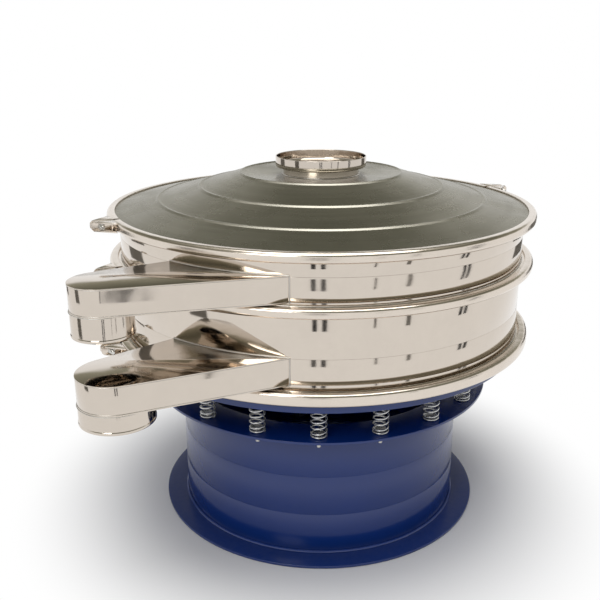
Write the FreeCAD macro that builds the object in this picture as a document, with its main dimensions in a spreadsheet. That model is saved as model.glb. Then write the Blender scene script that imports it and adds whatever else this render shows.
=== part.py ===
"""Round vibrating sieve with one screen deck, two side outlets and a spring-borne body.

Millimetres, +Z up. The origin is on the sieve's axis at floor level and the front is
-Y. Every sub-part is its own object, and all sizes stand in the sheet called "sizes".
"""
import math
import os

import FreeCAD
import Part
import Sketcher

DOC = FreeCAD.newDocument("vibrating_sieve")
SHEET = DOC.addObject("Spreadsheet::Sheet", "sizes")
NODES = []
FULL_TURN = 360.0


class Size:
    """A number together with the sheet expression that gives it."""

    def __init__(self, value, text):
        self.value = value
        self.text = text

    def __add__(self, other):
        other = as_size(other)
        return Size(self.value + other.value, f"({self.text} + {other.text})")

    def __sub__(self, other):
        other = as_size(other)
        return Size(self.value - other.value, f"({self.text} - {other.text})")

    def __mul__(self, factor):
        factor = as_size(factor)
        return Size(self.value * factor.value, f"({self.text} * {factor.text})")

    def __truediv__(self, divisor):
        divisor = as_size(divisor)
        return Size(self.value / divisor.value, f"({self.text} / {divisor.text})")

    def __neg__(self):
        return Size(-self.value, f"(-1 * {self.text})")


def as_size(number):
    """Plain numbers become sizes, so that both can stand in one sum."""
    if isinstance(number, Size):
        return number
    return Size(float(number), f"{float(number):.6f}")


def size(name, value):
    """Write one named number in the sheet and return it."""
    row = size.rows = getattr(size, "rows", 0) + 1
    SHEET.set(f"A{row}", name)
    SHEET.set(f"B{row}", str(value))
    SHEET.setAlias(f"B{row}", name)
    return Size(float(value), f"sizes.{name}")


# ---------------------------------------------------------------- driving sizes
wall_r = size("wall_r", 600)
sheet_t = size("sheet_t", 3)

drum_r = size("drum_r", 437)
drum_t = size("drum_t", 5)
foot_reach = size("foot_reach", 67)
foot_inset = size("foot_inset", 25)
foot_t = size("foot_t", 8)
foot_r = drum_r + foot_reach
foot_inner_r = drum_r - foot_inset
shelf_z = size("shelf_z", 403)
shelf_t = size("shelf_t", 8)
shelf_margin = size("shelf_margin", 36)
hatch_w = size("hatch_w", 190)
hatch_h = size("hatch_h", 120)
hatch_z = size("hatch_z", 190)
hatch_lap = size("hatch_lap", 22)

spring_count = size("spring_count", 18)
spring_offset = size("spring_offset", 48)
spring_ring_r = drum_r + spring_offset
shelf_r = spring_ring_r + shelf_margin
spring_h = size("spring_h", 122)
coil_r = size("coil_r", 20)
wire_r = size("wire_r", 2.8)
coil_turns = size("coil_turns", 7)
coil_sides = size("coil_sides", 5)
locator_play = size("locator_play", 4.2)
locator_r = coil_r - wire_r - locator_play
locator_h = size("locator_h", 12)
shank_w = size("shank_w", 12)
shank_play = size("shank_play", 0.3)
locator_nut_r = size("locator_nut_r", 10.5)
locator_nut_h = size("locator_nut_h", 10)
stud_r = size("stud_r", 6)
stud_end = size("stud_end", 12)

table_z = shelf_z + spring_h
table_t = size("table_t", 12)
table_h = size("table_h", 48)

flange_w = size("flange_w", 24)
flange_r = wall_r + flange_w
flange_edge_t = size("flange_edge_t", 5)
flange_root_t = size("flange_root_t", 9)
seal_t = size("seal_t", 3)
lower_frame_h = size("lower_frame_h", 222.5)
upper_frame_h = size("upper_frame_h", 135.5)
low_joint_z = table_z + table_h
mid_joint_z = low_joint_z + lower_frame_h
top_joint_z = mid_joint_z + upper_frame_h

clamp_web_t = size("clamp_web_t", 4)
clamp_room = size("clamp_room", 6)
clamp_grip = size("clamp_grip", 13)
clamp_r = flange_r + clamp_room + clamp_web_t
clamp_lip_r = flange_r - clamp_grip
clamp_h = size("clamp_h", 27)
low_clamp_h = size("low_clamp_h", 36)
clamp_play = size("clamp_play", 0.4)
clamp_azimuth = size("clamp_azimuth", -64)
closure_gap = size("closure_gap", 14)
lug_reach = size("lug_reach", 56)
lug_t = size("lug_t", 6)
lug_back = size("lug_back", 44)
gusset_t = size("gusset_t", 4)
closure_bolt_offset = size("closure_bolt_offset", 30)
closure_bolt_x = clamp_r + closure_bolt_offset
closure_bolt_r = size("closure_bolt_r", 5)
closure_bolt_play = size("closure_bolt_play", 0.5)
closure_nut_r = size("closure_nut_r", 8.8)
closure_nut_h = size("closure_nut_h", 9)
closure_bolt_end = size("closure_bolt_end", 26)

dish_lift = size("dish_lift", 25)
dish_rise = size("dish_rise", 48)
dish_edge_z = low_joint_z + dish_lift
dish_centre_z = dish_edge_z + dish_rise

screen_ring_w = size("screen_ring_w", 64)
screen_inner_r = flange_r - screen_ring_w
mesh_lap = size("mesh_lap", 25)
mesh_r = screen_inner_r + mesh_lap
mesh_t = size("mesh_t", 1)

rim_band_w = size("rim_band_w", 114)
lid_band_w = size("lid_band_w", 123)
outer_fold_r = wall_r - rim_band_w
middle_fold_r = outer_fold_r - lid_band_w
inner_fold_r = middle_fold_r - lid_band_w
rim_band_rise = size("rim_band_rise", 35)
middle_band_rise = size("middle_band_rise", 33)
inner_band_rise = size("inner_band_rise", 37)
crown_fall = size("crown_fall", 7)
outer_fold_z = top_joint_z + rim_band_rise
middle_fold_z = outer_fold_z + middle_band_rise
inner_fold_z = middle_fold_z + inner_band_rise
neck_foot_z = inner_fold_z - crown_fall
neck_r = size("neck_r", 113)
neck_h = size("neck_h", 21)
collar_w = size("collar_w", 22.5)
collar_h = size("collar_h", 33)
collar_r = neck_r + collar_w
collar_floor_z = neck_foot_z + neck_h
collar_top_z = collar_floor_z + collar_h

upper_duct_lift = size("upper_duct_lift", 16.5)
upper_duct_z = mid_joint_z + upper_duct_lift
upper_duct_h = size("upper_duct_h", 69)
upper_outlet_inset = size("upper_outlet_inset", 90)
upper_outlet_reach = size("upper_outlet_reach", 40)
upper_outlet_x = upper_outlet_inset - wall_r
upper_outlet_y = -(wall_r + upper_outlet_reach)
upper_outlet_r = size("upper_outlet_r", 76)
upper_spout_h = size("upper_spout_h", 62)
lower_duct_lift = size("lower_duct_lift", 26)
lower_duct_z = low_joint_z + lower_duct_lift
lower_duct_h = size("lower_duct_h", 74)
lower_outlet_inset = size("lower_outlet_inset", 121)
lower_outlet_reach = size("lower_outlet_reach", 87)
lower_outlet_x = lower_outlet_inset - wall_r
lower_outlet_y = -(wall_r + lower_outlet_reach)
lower_outlet_r = size("lower_outlet_r", 92)
lower_spout_h = size("lower_spout_h", 48)
duct_front_azimuth = size("duct_front_azimuth", -97)
duct_rear_azimuth = size("duct_rear_azimuth", -129)
duct_t = size("duct_t", 3)
spout_t = size("spout_t", 4)

motor_r = size("motor_r", 128)
motor_drop = size("motor_drop", 215)
motor_z = table_z - motor_drop
motor_hole_play = size("motor_hole_play", 2)
motor_flange_w = size("motor_flange_w", 57)
motor_flange_r = motor_r + motor_flange_w
motor_flange_t = size("motor_flange_t", 12)
motor_bolt_count = size("motor_bolt_count", 4)
motor_bolt_offset = size("motor_bolt_offset", 32)
motor_bolt_ring_r = motor_r + motor_bolt_offset
motor_bolt_r = size("motor_bolt_r", 8)
motor_bolt_play = size("motor_bolt_play", 0.5)
motor_head_r = size("motor_head_r", 13.5)
motor_head_h = size("motor_head_h", 10)
motor_nut_h = size("motor_nut_h", 13)
shaft_r = size("shaft_r", 20)
shaft_play = size("shaft_play", 0.05)
shaft_low_end = size("shaft_low_end", 70)
shaft_high_end = size("shaft_high_end", 63)
weight_r = size("weight_r", 105)
weight_hub_r = size("weight_hub_r", 36)
weight_t = size("weight_t", 28)
upper_weight_gap = size("upper_weight_gap", 23)
lower_weight_gap = size("lower_weight_gap", 24)
weight_lead = size("weight_lead", 35)
motor_top_z = table_z + table_t + motor_flange_t
shaft_low_z = motor_z - shaft_low_end
shaft_high_z = motor_top_z + shaft_high_end
upper_weight_z = motor_top_z + upper_weight_gap
lower_weight_z = motor_z - lower_weight_gap - weight_t

ZERO = as_size(0)


# ---------------------------------------------------------------- modelling helpers
def origin_plane(body, role):
    """The body's own origin plane with this role."""
    return [item for item in body.Origin.OriginFeatures if item.Role == role][0]


def new_body(name):
    """An empty body that becomes the node of this name."""
    body = DOC.addObject("PartDesign::Body", name)
    body.Label = name
    body.AllowCompound = True
    NODES.append(body)
    return body


def new_sketch(body, name, plane, lift=None):
    """A sketch on one origin plane of the body, raised along the plane's normal."""
    sketch = body.newObject("Sketcher::SketchObject", name)
    sketch.AttachmentSupport = (origin_plane(body, plane), [""])
    sketch.MapMode = "FlatFace"
    if lift is not None:
        sketch.AttachmentOffset = FreeCAD.Placement(
            FreeCAD.Vector(0, 0, lift.value), FreeCAD.Rotation())
        sketch.setExpression(".AttachmentOffset.Base.z", lift.text)
    return sketch


def hold_point(sketch, geometry, end, x, y):
    """Fix one end of a sketch line by its two distances from the origin."""
    for kind, axis, distance in (("DistanceX", -2, x), ("DistanceY", -1, y)):
        if abs(distance.value) < 1e-9:
            sketch.addConstraint(Sketcher.Constraint("PointOnObject", geometry, end, axis))
            continue
        row = sketch.addConstraint(
            Sketcher.Constraint(kind, -1, 1, geometry, end, distance.value))
        sketch.setExpression(f"Constraints[{row}]", distance.text)


def draw_outline(sketch, corners):
    """Add a closed line through the corners, given as pairs of sizes."""
    first = sketch.GeometryCount
    corners = [(as_size(x), as_size(y)) for x, y in corners]
    points = [FreeCAD.Vector(x.value, y.value, 0) for x, y in corners]
    count = len(points)
    for i in range(count):
        sketch.addGeometry(Part.LineSegment(points[i], points[(i + 1) % count]), False)
    for i in range(count):
        following = first + (i + 1) % count
        sketch.addConstraint(Sketcher.Constraint("Coincident", first + i, 2, following, 1))
    for i, (x, y) in enumerate(corners):
        hold_point(sketch, first + i, 1, x, y)


def draw_circle(sketch, x, y, radius):
    """Add a circle at a held centre."""
    x, y, radius = as_size(x), as_size(y), as_size(radius)
    centre = FreeCAD.Vector(x.value, y.value, 0)
    circle = sketch.addGeometry(
        Part.Circle(centre, FreeCAD.Vector(0, 0, 1), radius.value), False)
    hold_point(sketch, circle, 3, x, y)
    row = sketch.addConstraint(Sketcher.Constraint("Radius", circle, radius.value))
    sketch.setExpression(f"Constraints[{row}]", radius.text)


def regular_corners(x, y, radius, sides, turn=0.0):
    """Corners of a regular polygon round a centre."""
    corners = []
    for i in range(sides):
        angle = math.radians(turn + FULL_TURN * i / sides)
        corners.append((as_size(x) + radius * math.cos(angle),
                        as_size(y) + radius * math.sin(angle)))
    return corners


def revolve(body, sketch, angle=None):
    """Turn a profile round the body's Z axis, fully or evenly to both sides."""
    turned = body.newObject("PartDesign::Revolution", sketch.Name + "_turned")
    turned.Profile = sketch
    turned.ReferenceAxis = (sketch, ["V_Axis"])
    turned.Angle = FULL_TURN if angle is None else angle.value
    if angle is not None:
        turned.setExpression("Angle", angle.text)
        turned.Midplane = True
    return turned


def turned_body(name, corners):
    """A body made by one full turn of a profile of radius and height pairs."""
    body = new_body(name)
    sketch = new_sketch(body, name + "_profile", "XZ_Plane")
    draw_outline(sketch, corners)
    revolve(body, sketch)
    return body


def pad(body, sketch, length, reverse=False):
    """Raise a sketch by a length along its normal."""
    raised = body.newObject("PartDesign::Pad", sketch.Name + "_pad")
    raised.Profile = sketch
    raised.Length = length.value
    raised.setExpression("Length", length.text)
    raised.Reversed = reverse
    return raised


def pocket(body, sketch, length, reverse=False):
    """Cut a sketch down by a length against its normal."""
    cut = body.newObject("PartDesign::Pocket", sketch.Name + "_cut")
    cut.Profile = sketch
    cut.Length = length.value
    cut.setExpression("Length", length.text)
    cut.Reversed = reverse
    return cut


def ring_of(body, features, count):
    """Repeat features evenly round the body's Z axis."""
    pattern = body.newObject("PartDesign::PolarPattern", features[0].Name + "_ring")
    pattern.Originals = features
    axis = [item for item in body.Origin.OriginFeatures if item.Role == "Z_Axis"][0]
    pattern.Axis = (axis, [""])
    pattern.Angle = FULL_TURN
    pattern.Occurrences = int(count.value)
    pattern.setExpression("Occurrences", count.text)
    body.Tip = pattern
    return pattern


# ---------------------------------------------------------------- base
def build_foot_flange():
    """Flat ring that stands on the floor."""
    turned_body("foot_flange", [
        (foot_inner_r, ZERO),
        (foot_r, ZERO),
        (foot_r, foot_t),
        (foot_inner_r, foot_t),
    ])


def build_base_drum():
    """Rolled shell between the foot ring and the spring shelf, with a rear hatch."""
    shelf_under = shelf_z - shelf_t
    body = turned_body("base_drum", [
        (drum_r - drum_t, foot_t),
        (drum_r, foot_t),
        (drum_r, shelf_under),
        (drum_r - drum_t, shelf_under),
    ])
    sketch = new_sketch(body, "hatch_opening", "XZ_Plane")
    draw_outline(sketch, [
        (-hatch_w / 2, hatch_z - hatch_h / 2),
        (hatch_w / 2, hatch_z - hatch_h / 2),
        (hatch_w / 2, hatch_z + hatch_h / 2),
        (-hatch_w / 2, hatch_z + hatch_h / 2),
    ])
    pocket(body, sketch, drum_r + drum_t)


def build_hatch_cover():
    """Curved plate over the rear hatch, lying on the outside of the drum."""
    body = new_body("hatch_cover")
    sketch = new_sketch(body, "hatch_cover_profile", "YZ_Plane")
    half_h = hatch_h / 2 + hatch_lap
    draw_outline(sketch, [
        (drum_r, hatch_z - half_h),
        (drum_r + sheet_t, hatch_z - half_h),
        (drum_r + sheet_t, hatch_z + half_h),
        (drum_r, hatch_z + half_h),
    ])
    width = hatch_w + hatch_lap * 2
    revolve(body, sketch, width / drum_r * (180 / math.pi))


def build_spring_shelf():
    """Ring plate on top of the drum that carries the springs."""
    body = turned_body("spring_shelf", [
        (foot_inner_r, shelf_z - shelf_t),
        (shelf_r, shelf_z - shelf_t),
        (shelf_r, shelf_z),
        (foot_inner_r, shelf_z),
    ])
    half = shank_w / 2 + shank_play
    sketch = new_sketch(body, "shank_hole", "XY_Plane", shelf_z)
    draw_outline(sketch, [
        (-half, -spring_ring_r - half),
        (half, -spring_ring_r - half),
        (half, -spring_ring_r + half),
        (-half, -spring_ring_r + half),
    ])
    ring_of(body, [pocket(body, sketch, shelf_t)], spring_count)


def build_lower_locators():
    """Square-necked bolts through the shelf whose heads centre the springs."""
    body = new_body("lower_spring_locators")
    centre_y = -spring_ring_r
    half = shank_w / 2
    head = new_sketch(body, "locator_head", "XY_Plane", shelf_z)
    draw_outline(head, regular_corners(ZERO, centre_y, locator_r, 8))
    neck = new_sketch(body, "locator_neck", "XY_Plane", shelf_z)
    draw_outline(neck, [
        (-half, centre_y - half),
        (half, centre_y - half),
        (half, centre_y + half),
        (-half, centre_y + half),
    ])
    nut = new_sketch(body, "locator_nut", "XY_Plane", shelf_z - shelf_t)
    draw_outline(nut, regular_corners(ZERO, centre_y, locator_nut_r, 6))
    stud = new_sketch(body, "locator_stud", "XY_Plane", shelf_z - shelf_t - locator_nut_h)
    draw_outline(stud, regular_corners(ZERO, centre_y, stud_r, 6))
    features = [
        pad(body, head, locator_h),
        pad(body, neck, shelf_t, True),
        pad(body, nut, locator_nut_h, True),
        pad(body, stud, stud_end, True),
    ]
    ring_of(body, features, spring_count)


def build_upper_locators():
    """Spigots under the table that centre the tops of the springs."""
    body = new_body("upper_spring_locators")
    sketch = new_sketch(body, "upper_locator", "XY_Plane", table_z)
    draw_outline(sketch, regular_corners(ZERO, -spring_ring_r, locator_r, 8))
    ring_of(body, [pad(body, sketch, locator_h, True)], spring_count)


def coil_spring(centre, bottom_z, top_z):
    """One compression spring: a three-sided wire wound as a straight-sided helix."""
    steps = int(coil_turns.value * coil_sides.value)
    rise = (top_z - bottom_z - 1.5 * wire_r.value) / steps
    rings = []
    for step in range(steps + 1):
        turn = 2 * math.pi * step / coil_sides.value
        z = bottom_z + wire_r.value + rise * step
        ring = []
        for corner in range(3):
            angle = math.radians(30 + 120 * corner)
            radius = coil_r.value + wire_r.value * math.cos(angle)
            ring.append(centre + FreeCAD.Vector(
                radius * math.cos(turn), radius * math.sin(turn),
                z + wire_r.value * math.sin(angle)))
        rings.append(ring)
    faces = [triangle(rings[0]), triangle(rings[-1])]
    for lower, upper in zip(rings, rings[1:]):
        for i in range(3):
            j = (i + 1) % 3
            faces.append(triangle([lower[i], lower[j], upper[j]]))
            faces.append(triangle([lower[i], upper[j], upper[i]]))
    solid = Part.Solid(Part.Shell(faces))
    if solid.Volume < 0:
        solid.reverse()
    return solid


def triangle(corners):
    """A flat face on three corners."""
    return Part.Face(Part.makePolygon(corners + corners[:1]))


def build_springs():
    """All springs, standing between the shelf and the table."""
    contact = 0.3
    low_z = shelf_z.value + contact
    high_z = table_z.value - contact
    first = coil_spring(FreeCAD.Vector(0, -spring_ring_r.value, 0), low_z, high_z)
    springs = []
    for i in range(int(spring_count.value)):
        copy = first.copy()
        copy.rotate(FreeCAD.Vector(), FreeCAD.Vector(0, 0, 1), FULL_TURN * i / spring_count.value)
        springs.append(copy)
    group = DOC.addObject("Part::Feature", "springs")
    group.Label = "springs"
    group.Shape = Part.Compound(springs)
    NODES.append(group)


# ---------------------------------------------------------------- drive
def build_table():
    """Shallow pan that carries the sieve frames and hangs the motor."""
    flange_top = low_joint_z - seal_t / 2
    rim_inner_r = wall_r - table_t
    body = turned_body("table", [
        (motor_r + motor_hole_play, table_z),
        (wall_r, table_z),
        (wall_r, flange_top - flange_root_t),
        (flange_r, flange_top - flange_edge_t),
        (flange_r, flange_top),
        (rim_inner_r, flange_top),
        (rim_inner_r, table_z + table_t),
        (motor_r + motor_hole_play, table_z + table_t),
    ])
    sketch = new_sketch(body, "table_bolt_hole", "XY_Plane", table_z + table_t)
    draw_circle(sketch, motor_bolt_ring_r, ZERO, motor_bolt_r + motor_bolt_play)
    ring_of(body, [pocket(body, sketch, table_t)], motor_bolt_count)


def build_motor_housing():
    """Upright motor that hangs through the table on its flange."""
    flange_z = motor_top_z - motor_flange_t
    bore_r = shaft_r + shaft_play
    end_step = motor_r / 4
    body = turned_body("motor_housing", [
        (bore_r, motor_z),
        (motor_r - end_step, motor_z),
        (motor_r, motor_z + end_step),
        (motor_r, flange_z),
        (motor_flange_r, flange_z),
        (motor_flange_r, motor_top_z),
        (bore_r, motor_top_z),
    ])
    sketch = new_sketch(body, "motor_bolt_hole", "XY_Plane", motor_top_z)
    draw_circle(sketch, motor_bolt_ring_r, ZERO, motor_bolt_r + motor_bolt_play)
    ring_of(body, [pocket(body, sketch, motor_flange_t)], motor_bolt_count)


def build_motor_bolts():
    """Hexagon bolts with nuts that hold the motor's flange to the table."""
    body = new_body("motor_bolts")
    head = new_sketch(body, "motor_bolt_head", "XY_Plane", motor_top_z)
    draw_outline(head, regular_corners(motor_bolt_ring_r, ZERO, motor_head_r, 6))
    shank = new_sketch(body, "motor_bolt_shank", "XY_Plane", motor_top_z)
    draw_outline(shank, regular_corners(motor_bolt_ring_r, ZERO, motor_bolt_r, 8))
    nut = new_sketch(body, "motor_bolt_nut", "XY_Plane", table_z)
    draw_outline(nut, regular_corners(motor_bolt_ring_r, ZERO, motor_head_r, 6))
    features = [
        pad(body, head, motor_head_h),
        pad(body, shank, motor_flange_t + table_t, True),
        pad(body, nut, motor_nut_h, True),
    ]
    ring_of(body, features, motor_bolt_count)


def build_motor_shaft():
    """Through shaft with a free end above and below the motor."""
    body = new_body("motor_shaft")
    sketch = new_sketch(body, "shaft_section", "XY_Plane", shaft_low_z)
    draw_circle(sketch, ZERO, ZERO, shaft_r)
    pad(body, sketch, shaft_high_z - shaft_low_z)


def draw_weight(sketch, bore_r):
    """Fan-shaped weight outline with its bore."""
    side = weight_r * math.cos(math.radians(35))
    drop = weight_r * math.sin(math.radians(35))
    waist = weight_hub_r * 1.1
    draw_outline(sketch, [
        (-waist, -weight_hub_r),
        (waist, -weight_hub_r),
        (side, drop),
        (weight_r * 0.5, weight_r * 0.866),
        (ZERO, weight_r),
        (-weight_r * 0.5, weight_r * 0.866),
        (-side, drop),
    ])
    draw_circle(sketch, ZERO, ZERO, bore_r)


def build_weights():
    """Eccentric weights on the two shaft ends, the lower one set ahead of the upper."""
    upper = new_body("upper_weight")
    upper_sketch = new_sketch(upper, "upper_weight_outline", "XY_Plane", upper_weight_z)
    draw_weight(upper_sketch, shaft_r)
    pad(upper, upper_sketch, weight_t)
    lower = new_body("lower_weight")
    lower_sketch = new_sketch(lower, "lower_weight_outline", "XY_Plane", lower_weight_z)
    draw_weight(lower_sketch, shaft_r + shaft_play)
    pad(lower, lower_sketch, weight_t)
    lower.Placement = FreeCAD.Placement(
        FreeCAD.Vector(), FreeCAD.Rotation(FreeCAD.Vector(0, 0, 1), weight_lead.value))
    lower.setExpression(".Placement.Rotation.Angle", weight_lead.text)


# ---------------------------------------------------------------- frames and screen
def cut_duct_window(body, name, duct_z, duct_h):
    """Open the frame's wall where a duct leaves it."""
    margin = 1.5
    inner = wall_r - sheet_t * 3
    outer = wall_r + sheet_t
    rays = (duct_front_azimuth - margin, duct_rear_azimuth + margin)
    corners = []
    for radius, ray in ((inner, rays[0]), (outer, rays[0]), (outer, rays[1]), (inner, rays[1])):
        angle = math.radians(ray.value)
        corners.append((radius * math.cos(angle), radius * math.sin(angle)))
    middle = math.radians((rays[0].value + rays[1].value) / 2)
    corners.insert(2, ((outer + sheet_t * 7) * math.cos(middle),
                       (outer + sheet_t * 7) * math.sin(middle)))
    sketch = new_sketch(body, name, "XY_Plane", duct_z + duct_h - duct_t)
    draw_outline(sketch, corners)
    pocket(body, sketch, duct_h - duct_t * 2)


def build_frame_wall(name, low, high, duct_z, duct_h):
    """Rolled wall of a frame, open where its duct leaves."""
    body = turned_body(name, [
        (wall_r - sheet_t, low),
        (wall_r, low),
        (wall_r, high),
        (wall_r - sheet_t, high),
    ])
    cut_duct_window(body, name + "_window", duct_z, duct_h)


def build_frame_flange(name, face_z, rise):
    """Tapered flange welded round one end of a frame's wall; rise points away from the joint."""
    turned_body(name, [
        (wall_r, face_z),
        (flange_r, face_z),
        (flange_r, face_z + flange_edge_t * rise),
        (wall_r, face_z + flange_root_t * rise),
    ])


def build_frames():
    """Lower frame under the screen and upper frame above it."""
    for name, low_joint, high_joint, duct_z, duct_h in (
            ("lower_frame", low_joint_z, mid_joint_z, lower_duct_z, lower_duct_h),
            ("upper_frame", mid_joint_z, top_joint_z, upper_duct_z, upper_duct_h)):
        low = low_joint + seal_t / 2
        high = high_joint - seal_t / 2
        build_frame_wall(name, low, high, duct_z, duct_h)
        build_frame_flange(name + "_low_flange", low, 1)
        build_frame_flange(name + "_high_flange", high, -1)


def build_fines_floor():
    """Domed floor of the lower frame, which sends the fines to the lower outlet."""
    bore = wall_r - sheet_t
    turned_body("fines_floor", [
        (bore, dish_edge_z),
        (bore, dish_edge_z + sheet_t),
        (ZERO, dish_centre_z + sheet_t),
        (ZERO, dish_centre_z),
    ])


def build_screen():
    """Flat screen ring held between the frames, with the woven mesh on top of it."""
    low = mid_joint_z - seal_t / 2
    turned_body("screen_ring", [
        (screen_inner_r, low),
        (flange_r, low),
        (flange_r, low + seal_t),
        (screen_inner_r, low + seal_t),
    ])
    mesh = new_body("screen_mesh")
    sketch = new_sketch(mesh, "mesh_disc", "XY_Plane", low + seal_t)
    draw_circle(sketch, ZERO, ZERO, mesh_r)
    pad(mesh, sketch, mesh_t)


def build_seal(name, joint_z):
    """Flat rubber ring between two flanges."""
    turned_body(name, [
        (wall_r - sheet_t, joint_z - seal_t / 2),
        (flange_r, joint_z - seal_t / 2),
        (flange_r, joint_z + seal_t / 2),
        (wall_r - sheet_t, joint_z + seal_t / 2),
    ])


def build_duct(name, duct_z, duct_h, outlet):
    """Side duct: flat-topped, narrowing to a round end with a hole in its floor."""
    x, y, radius = outlet
    body = new_body(name)
    plan = new_sketch(body, name + "_plan", "XY_Plane", duct_z)
    draw_duct_plan(plan, x, y, radius, wall_r)
    for line, end, azimuth in ((0, 1, duct_front_azimuth), (2, 2, duct_rear_azimuth)):
        across = wall_r * math.cos(math.radians(azimuth.value))
        row = plan.addConstraint(
            Sketcher.Constraint("DistanceX", -1, 1, line, end, across.value))
        plan.setExpression(
            f"Constraints[{row}]", f"{wall_r.text} * cos({azimuth.text} * 1 deg)")
    pad(body, plan, duct_h)
    DOC.recompute()
    ceiling = duct_z + duct_h - duct_t
    cavity = new_sketch(body, name + "_cavity", "XY_Plane", ceiling)
    draw_duct_plan(cavity, x, y, radius - duct_t, wall_r - sheet_t)
    for side, outer_side, outer_edge in ((0, -3, "Edge1"), (2, -4, "Edge3")):
        cavity.addExternal(plan.Name, outer_edge)
        cavity.addConstraint(Sketcher.Constraint("Parallel", side, outer_side))
    pocket(body, cavity, duct_h - duct_t * 2)
    hole = new_sketch(body, name + "_hole", "XY_Plane", duct_z + duct_t)
    draw_circle(hole, x, y, radius - spout_t)
    pocket(body, hole, duct_t)


def build_spout(name, duct_z, height, outlet):
    """Short tube welded under a duct's round end, pointing down."""
    x, y, radius = outlet
    body = new_body(name)
    sketch = new_sketch(body, name + "_section", "XY_Plane", duct_z - height)
    draw_circle(sketch, x, y, radius)
    draw_circle(sketch, x, y, radius - spout_t)
    pad(body, sketch, height)


def draw_duct_plan(sketch, x, y, radius, end_r):
    """Two straight sides from a circle round the sieve's axis, tangent to the round end."""
    centre = FreeCAD.Vector(x.value, y.value, 0)
    ends = []
    for azimuth, side in ((duct_front_azimuth, -1), (duct_rear_azimuth, 1)):
        angle = math.radians(azimuth.value)
        start = FreeCAD.Vector(math.cos(angle), math.sin(angle), 0) * end_r.value
        ends.append((start, tangent_point(start, centre, radius.value, side)))
    (front, front_touch), (rear, rear_touch) = ends
    normal = FreeCAD.Vector(0, 0, 1)
    first_angle = math.atan2(rear_touch.y - y.value, rear_touch.x - x.value)
    last_angle = math.atan2(front_touch.y - y.value, front_touch.x - x.value)
    wall_angles = (math.radians(duct_rear_azimuth.value), math.radians(duct_front_azimuth.value))
    sketch.addGeometry([
        Part.LineSegment(front, front_touch),
        Part.ArcOfCircle(Part.Circle(centre, normal, radius.value), first_angle, last_angle),
        Part.LineSegment(rear_touch, rear),
        Part.ArcOfCircle(
            Part.Circle(FreeCAD.Vector(), normal, end_r.value), wall_angles[0], wall_angles[1]),
    ], False)
    for first, first_end, second, second_end in ((0, 2, 1, 2), (2, 1, 1, 1)):
        sketch.addConstraint(
            Sketcher.Constraint("Tangent", first, first_end, second, second_end))
    sketch.addConstraint(Sketcher.Constraint("Coincident", 2, 2, 3, 1))
    sketch.addConstraint(Sketcher.Constraint("Coincident", 0, 1, 3, 2))
    hold_point(sketch, 1, 3, x, y)
    sketch.addConstraint(Sketcher.Constraint("Coincident", 3, 3, -1, 1))
    for arc, value in ((1, radius), (3, end_r)):
        row = sketch.addConstraint(Sketcher.Constraint("Radius", arc, value.value))
        sketch.setExpression(f"Constraints[{row}]", value.text)


def tangent_point(start, centre, radius, side):
    """Where a line from a point touches a circle on the chosen side."""
    reach = centre - start
    length = reach.Length
    bend = math.acos(radius / length)
    back = math.atan2(-reach.y, -reach.x) + side * bend
    return centre + FreeCAD.Vector(math.cos(back), math.sin(back), 0) * radius


# ---------------------------------------------------------------- lid
def build_lid():
    """Spun lid: a rim, three conical bands between folds and a flat middle."""
    under = top_joint_z + seal_t / 2
    bore = neck_r - sheet_t
    turned_body("lid", [
        (wall_r - sheet_t, under),
        (flange_r, under),
        (flange_r, under + flange_edge_t),
        (wall_r, under + flange_root_t),
        (outer_fold_r, outer_fold_z),
        (middle_fold_r, middle_fold_z),
        (inner_fold_r, inner_fold_z),
        (neck_r, neck_foot_z),
        (bore, neck_foot_z),
        (bore, neck_foot_z - sheet_t),
        (inner_fold_r, inner_fold_z - sheet_t),
        (middle_fold_r, middle_fold_z - sheet_t),
        (outer_fold_r, outer_fold_z - sheet_t),
    ])


def build_inlet_neck():
    """Short tube on the lid with a wider collar that takes the feed sleeve."""
    bore = neck_r - sheet_t
    collar_bore = collar_r - sheet_t
    turned_body("inlet_neck", [
        (bore, neck_foot_z),
        (neck_r, neck_foot_z),
        (neck_r, collar_floor_z),
        (collar_r, collar_floor_z),
        (collar_r, collar_top_z),
        (collar_bore, collar_top_z),
        (collar_bore, collar_floor_z + sheet_t),
        (bore, collar_floor_z + sheet_t),
    ])


# ---------------------------------------------------------------- clamp rings
def clamp_profile(joint_z, height):
    """Section of a clamp ring: a channel whose flanks close on the two flanges."""
    mouth = seal_t / 2 + clamp_play
    slope = (flange_root_t - flange_edge_t) / (flange_r - wall_r)
    groove_r = clamp_r - clamp_web_t
    lip_half = mouth + flange_edge_t + slope * (flange_r - clamp_lip_r)
    web_half = mouth + flange_edge_t - slope * (groove_r - flange_r)
    return [
        (clamp_r, joint_z - height / 2),
        (clamp_r, joint_z + height / 2),
        (clamp_lip_r, joint_z + height / 2),
        (clamp_lip_r, joint_z + lip_half),
        (groove_r, joint_z + web_half),
        (groove_r, joint_z - web_half),
        (clamp_lip_r, joint_z - lip_half),
        (clamp_lip_r, joint_z - height / 2),
    ]


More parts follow.
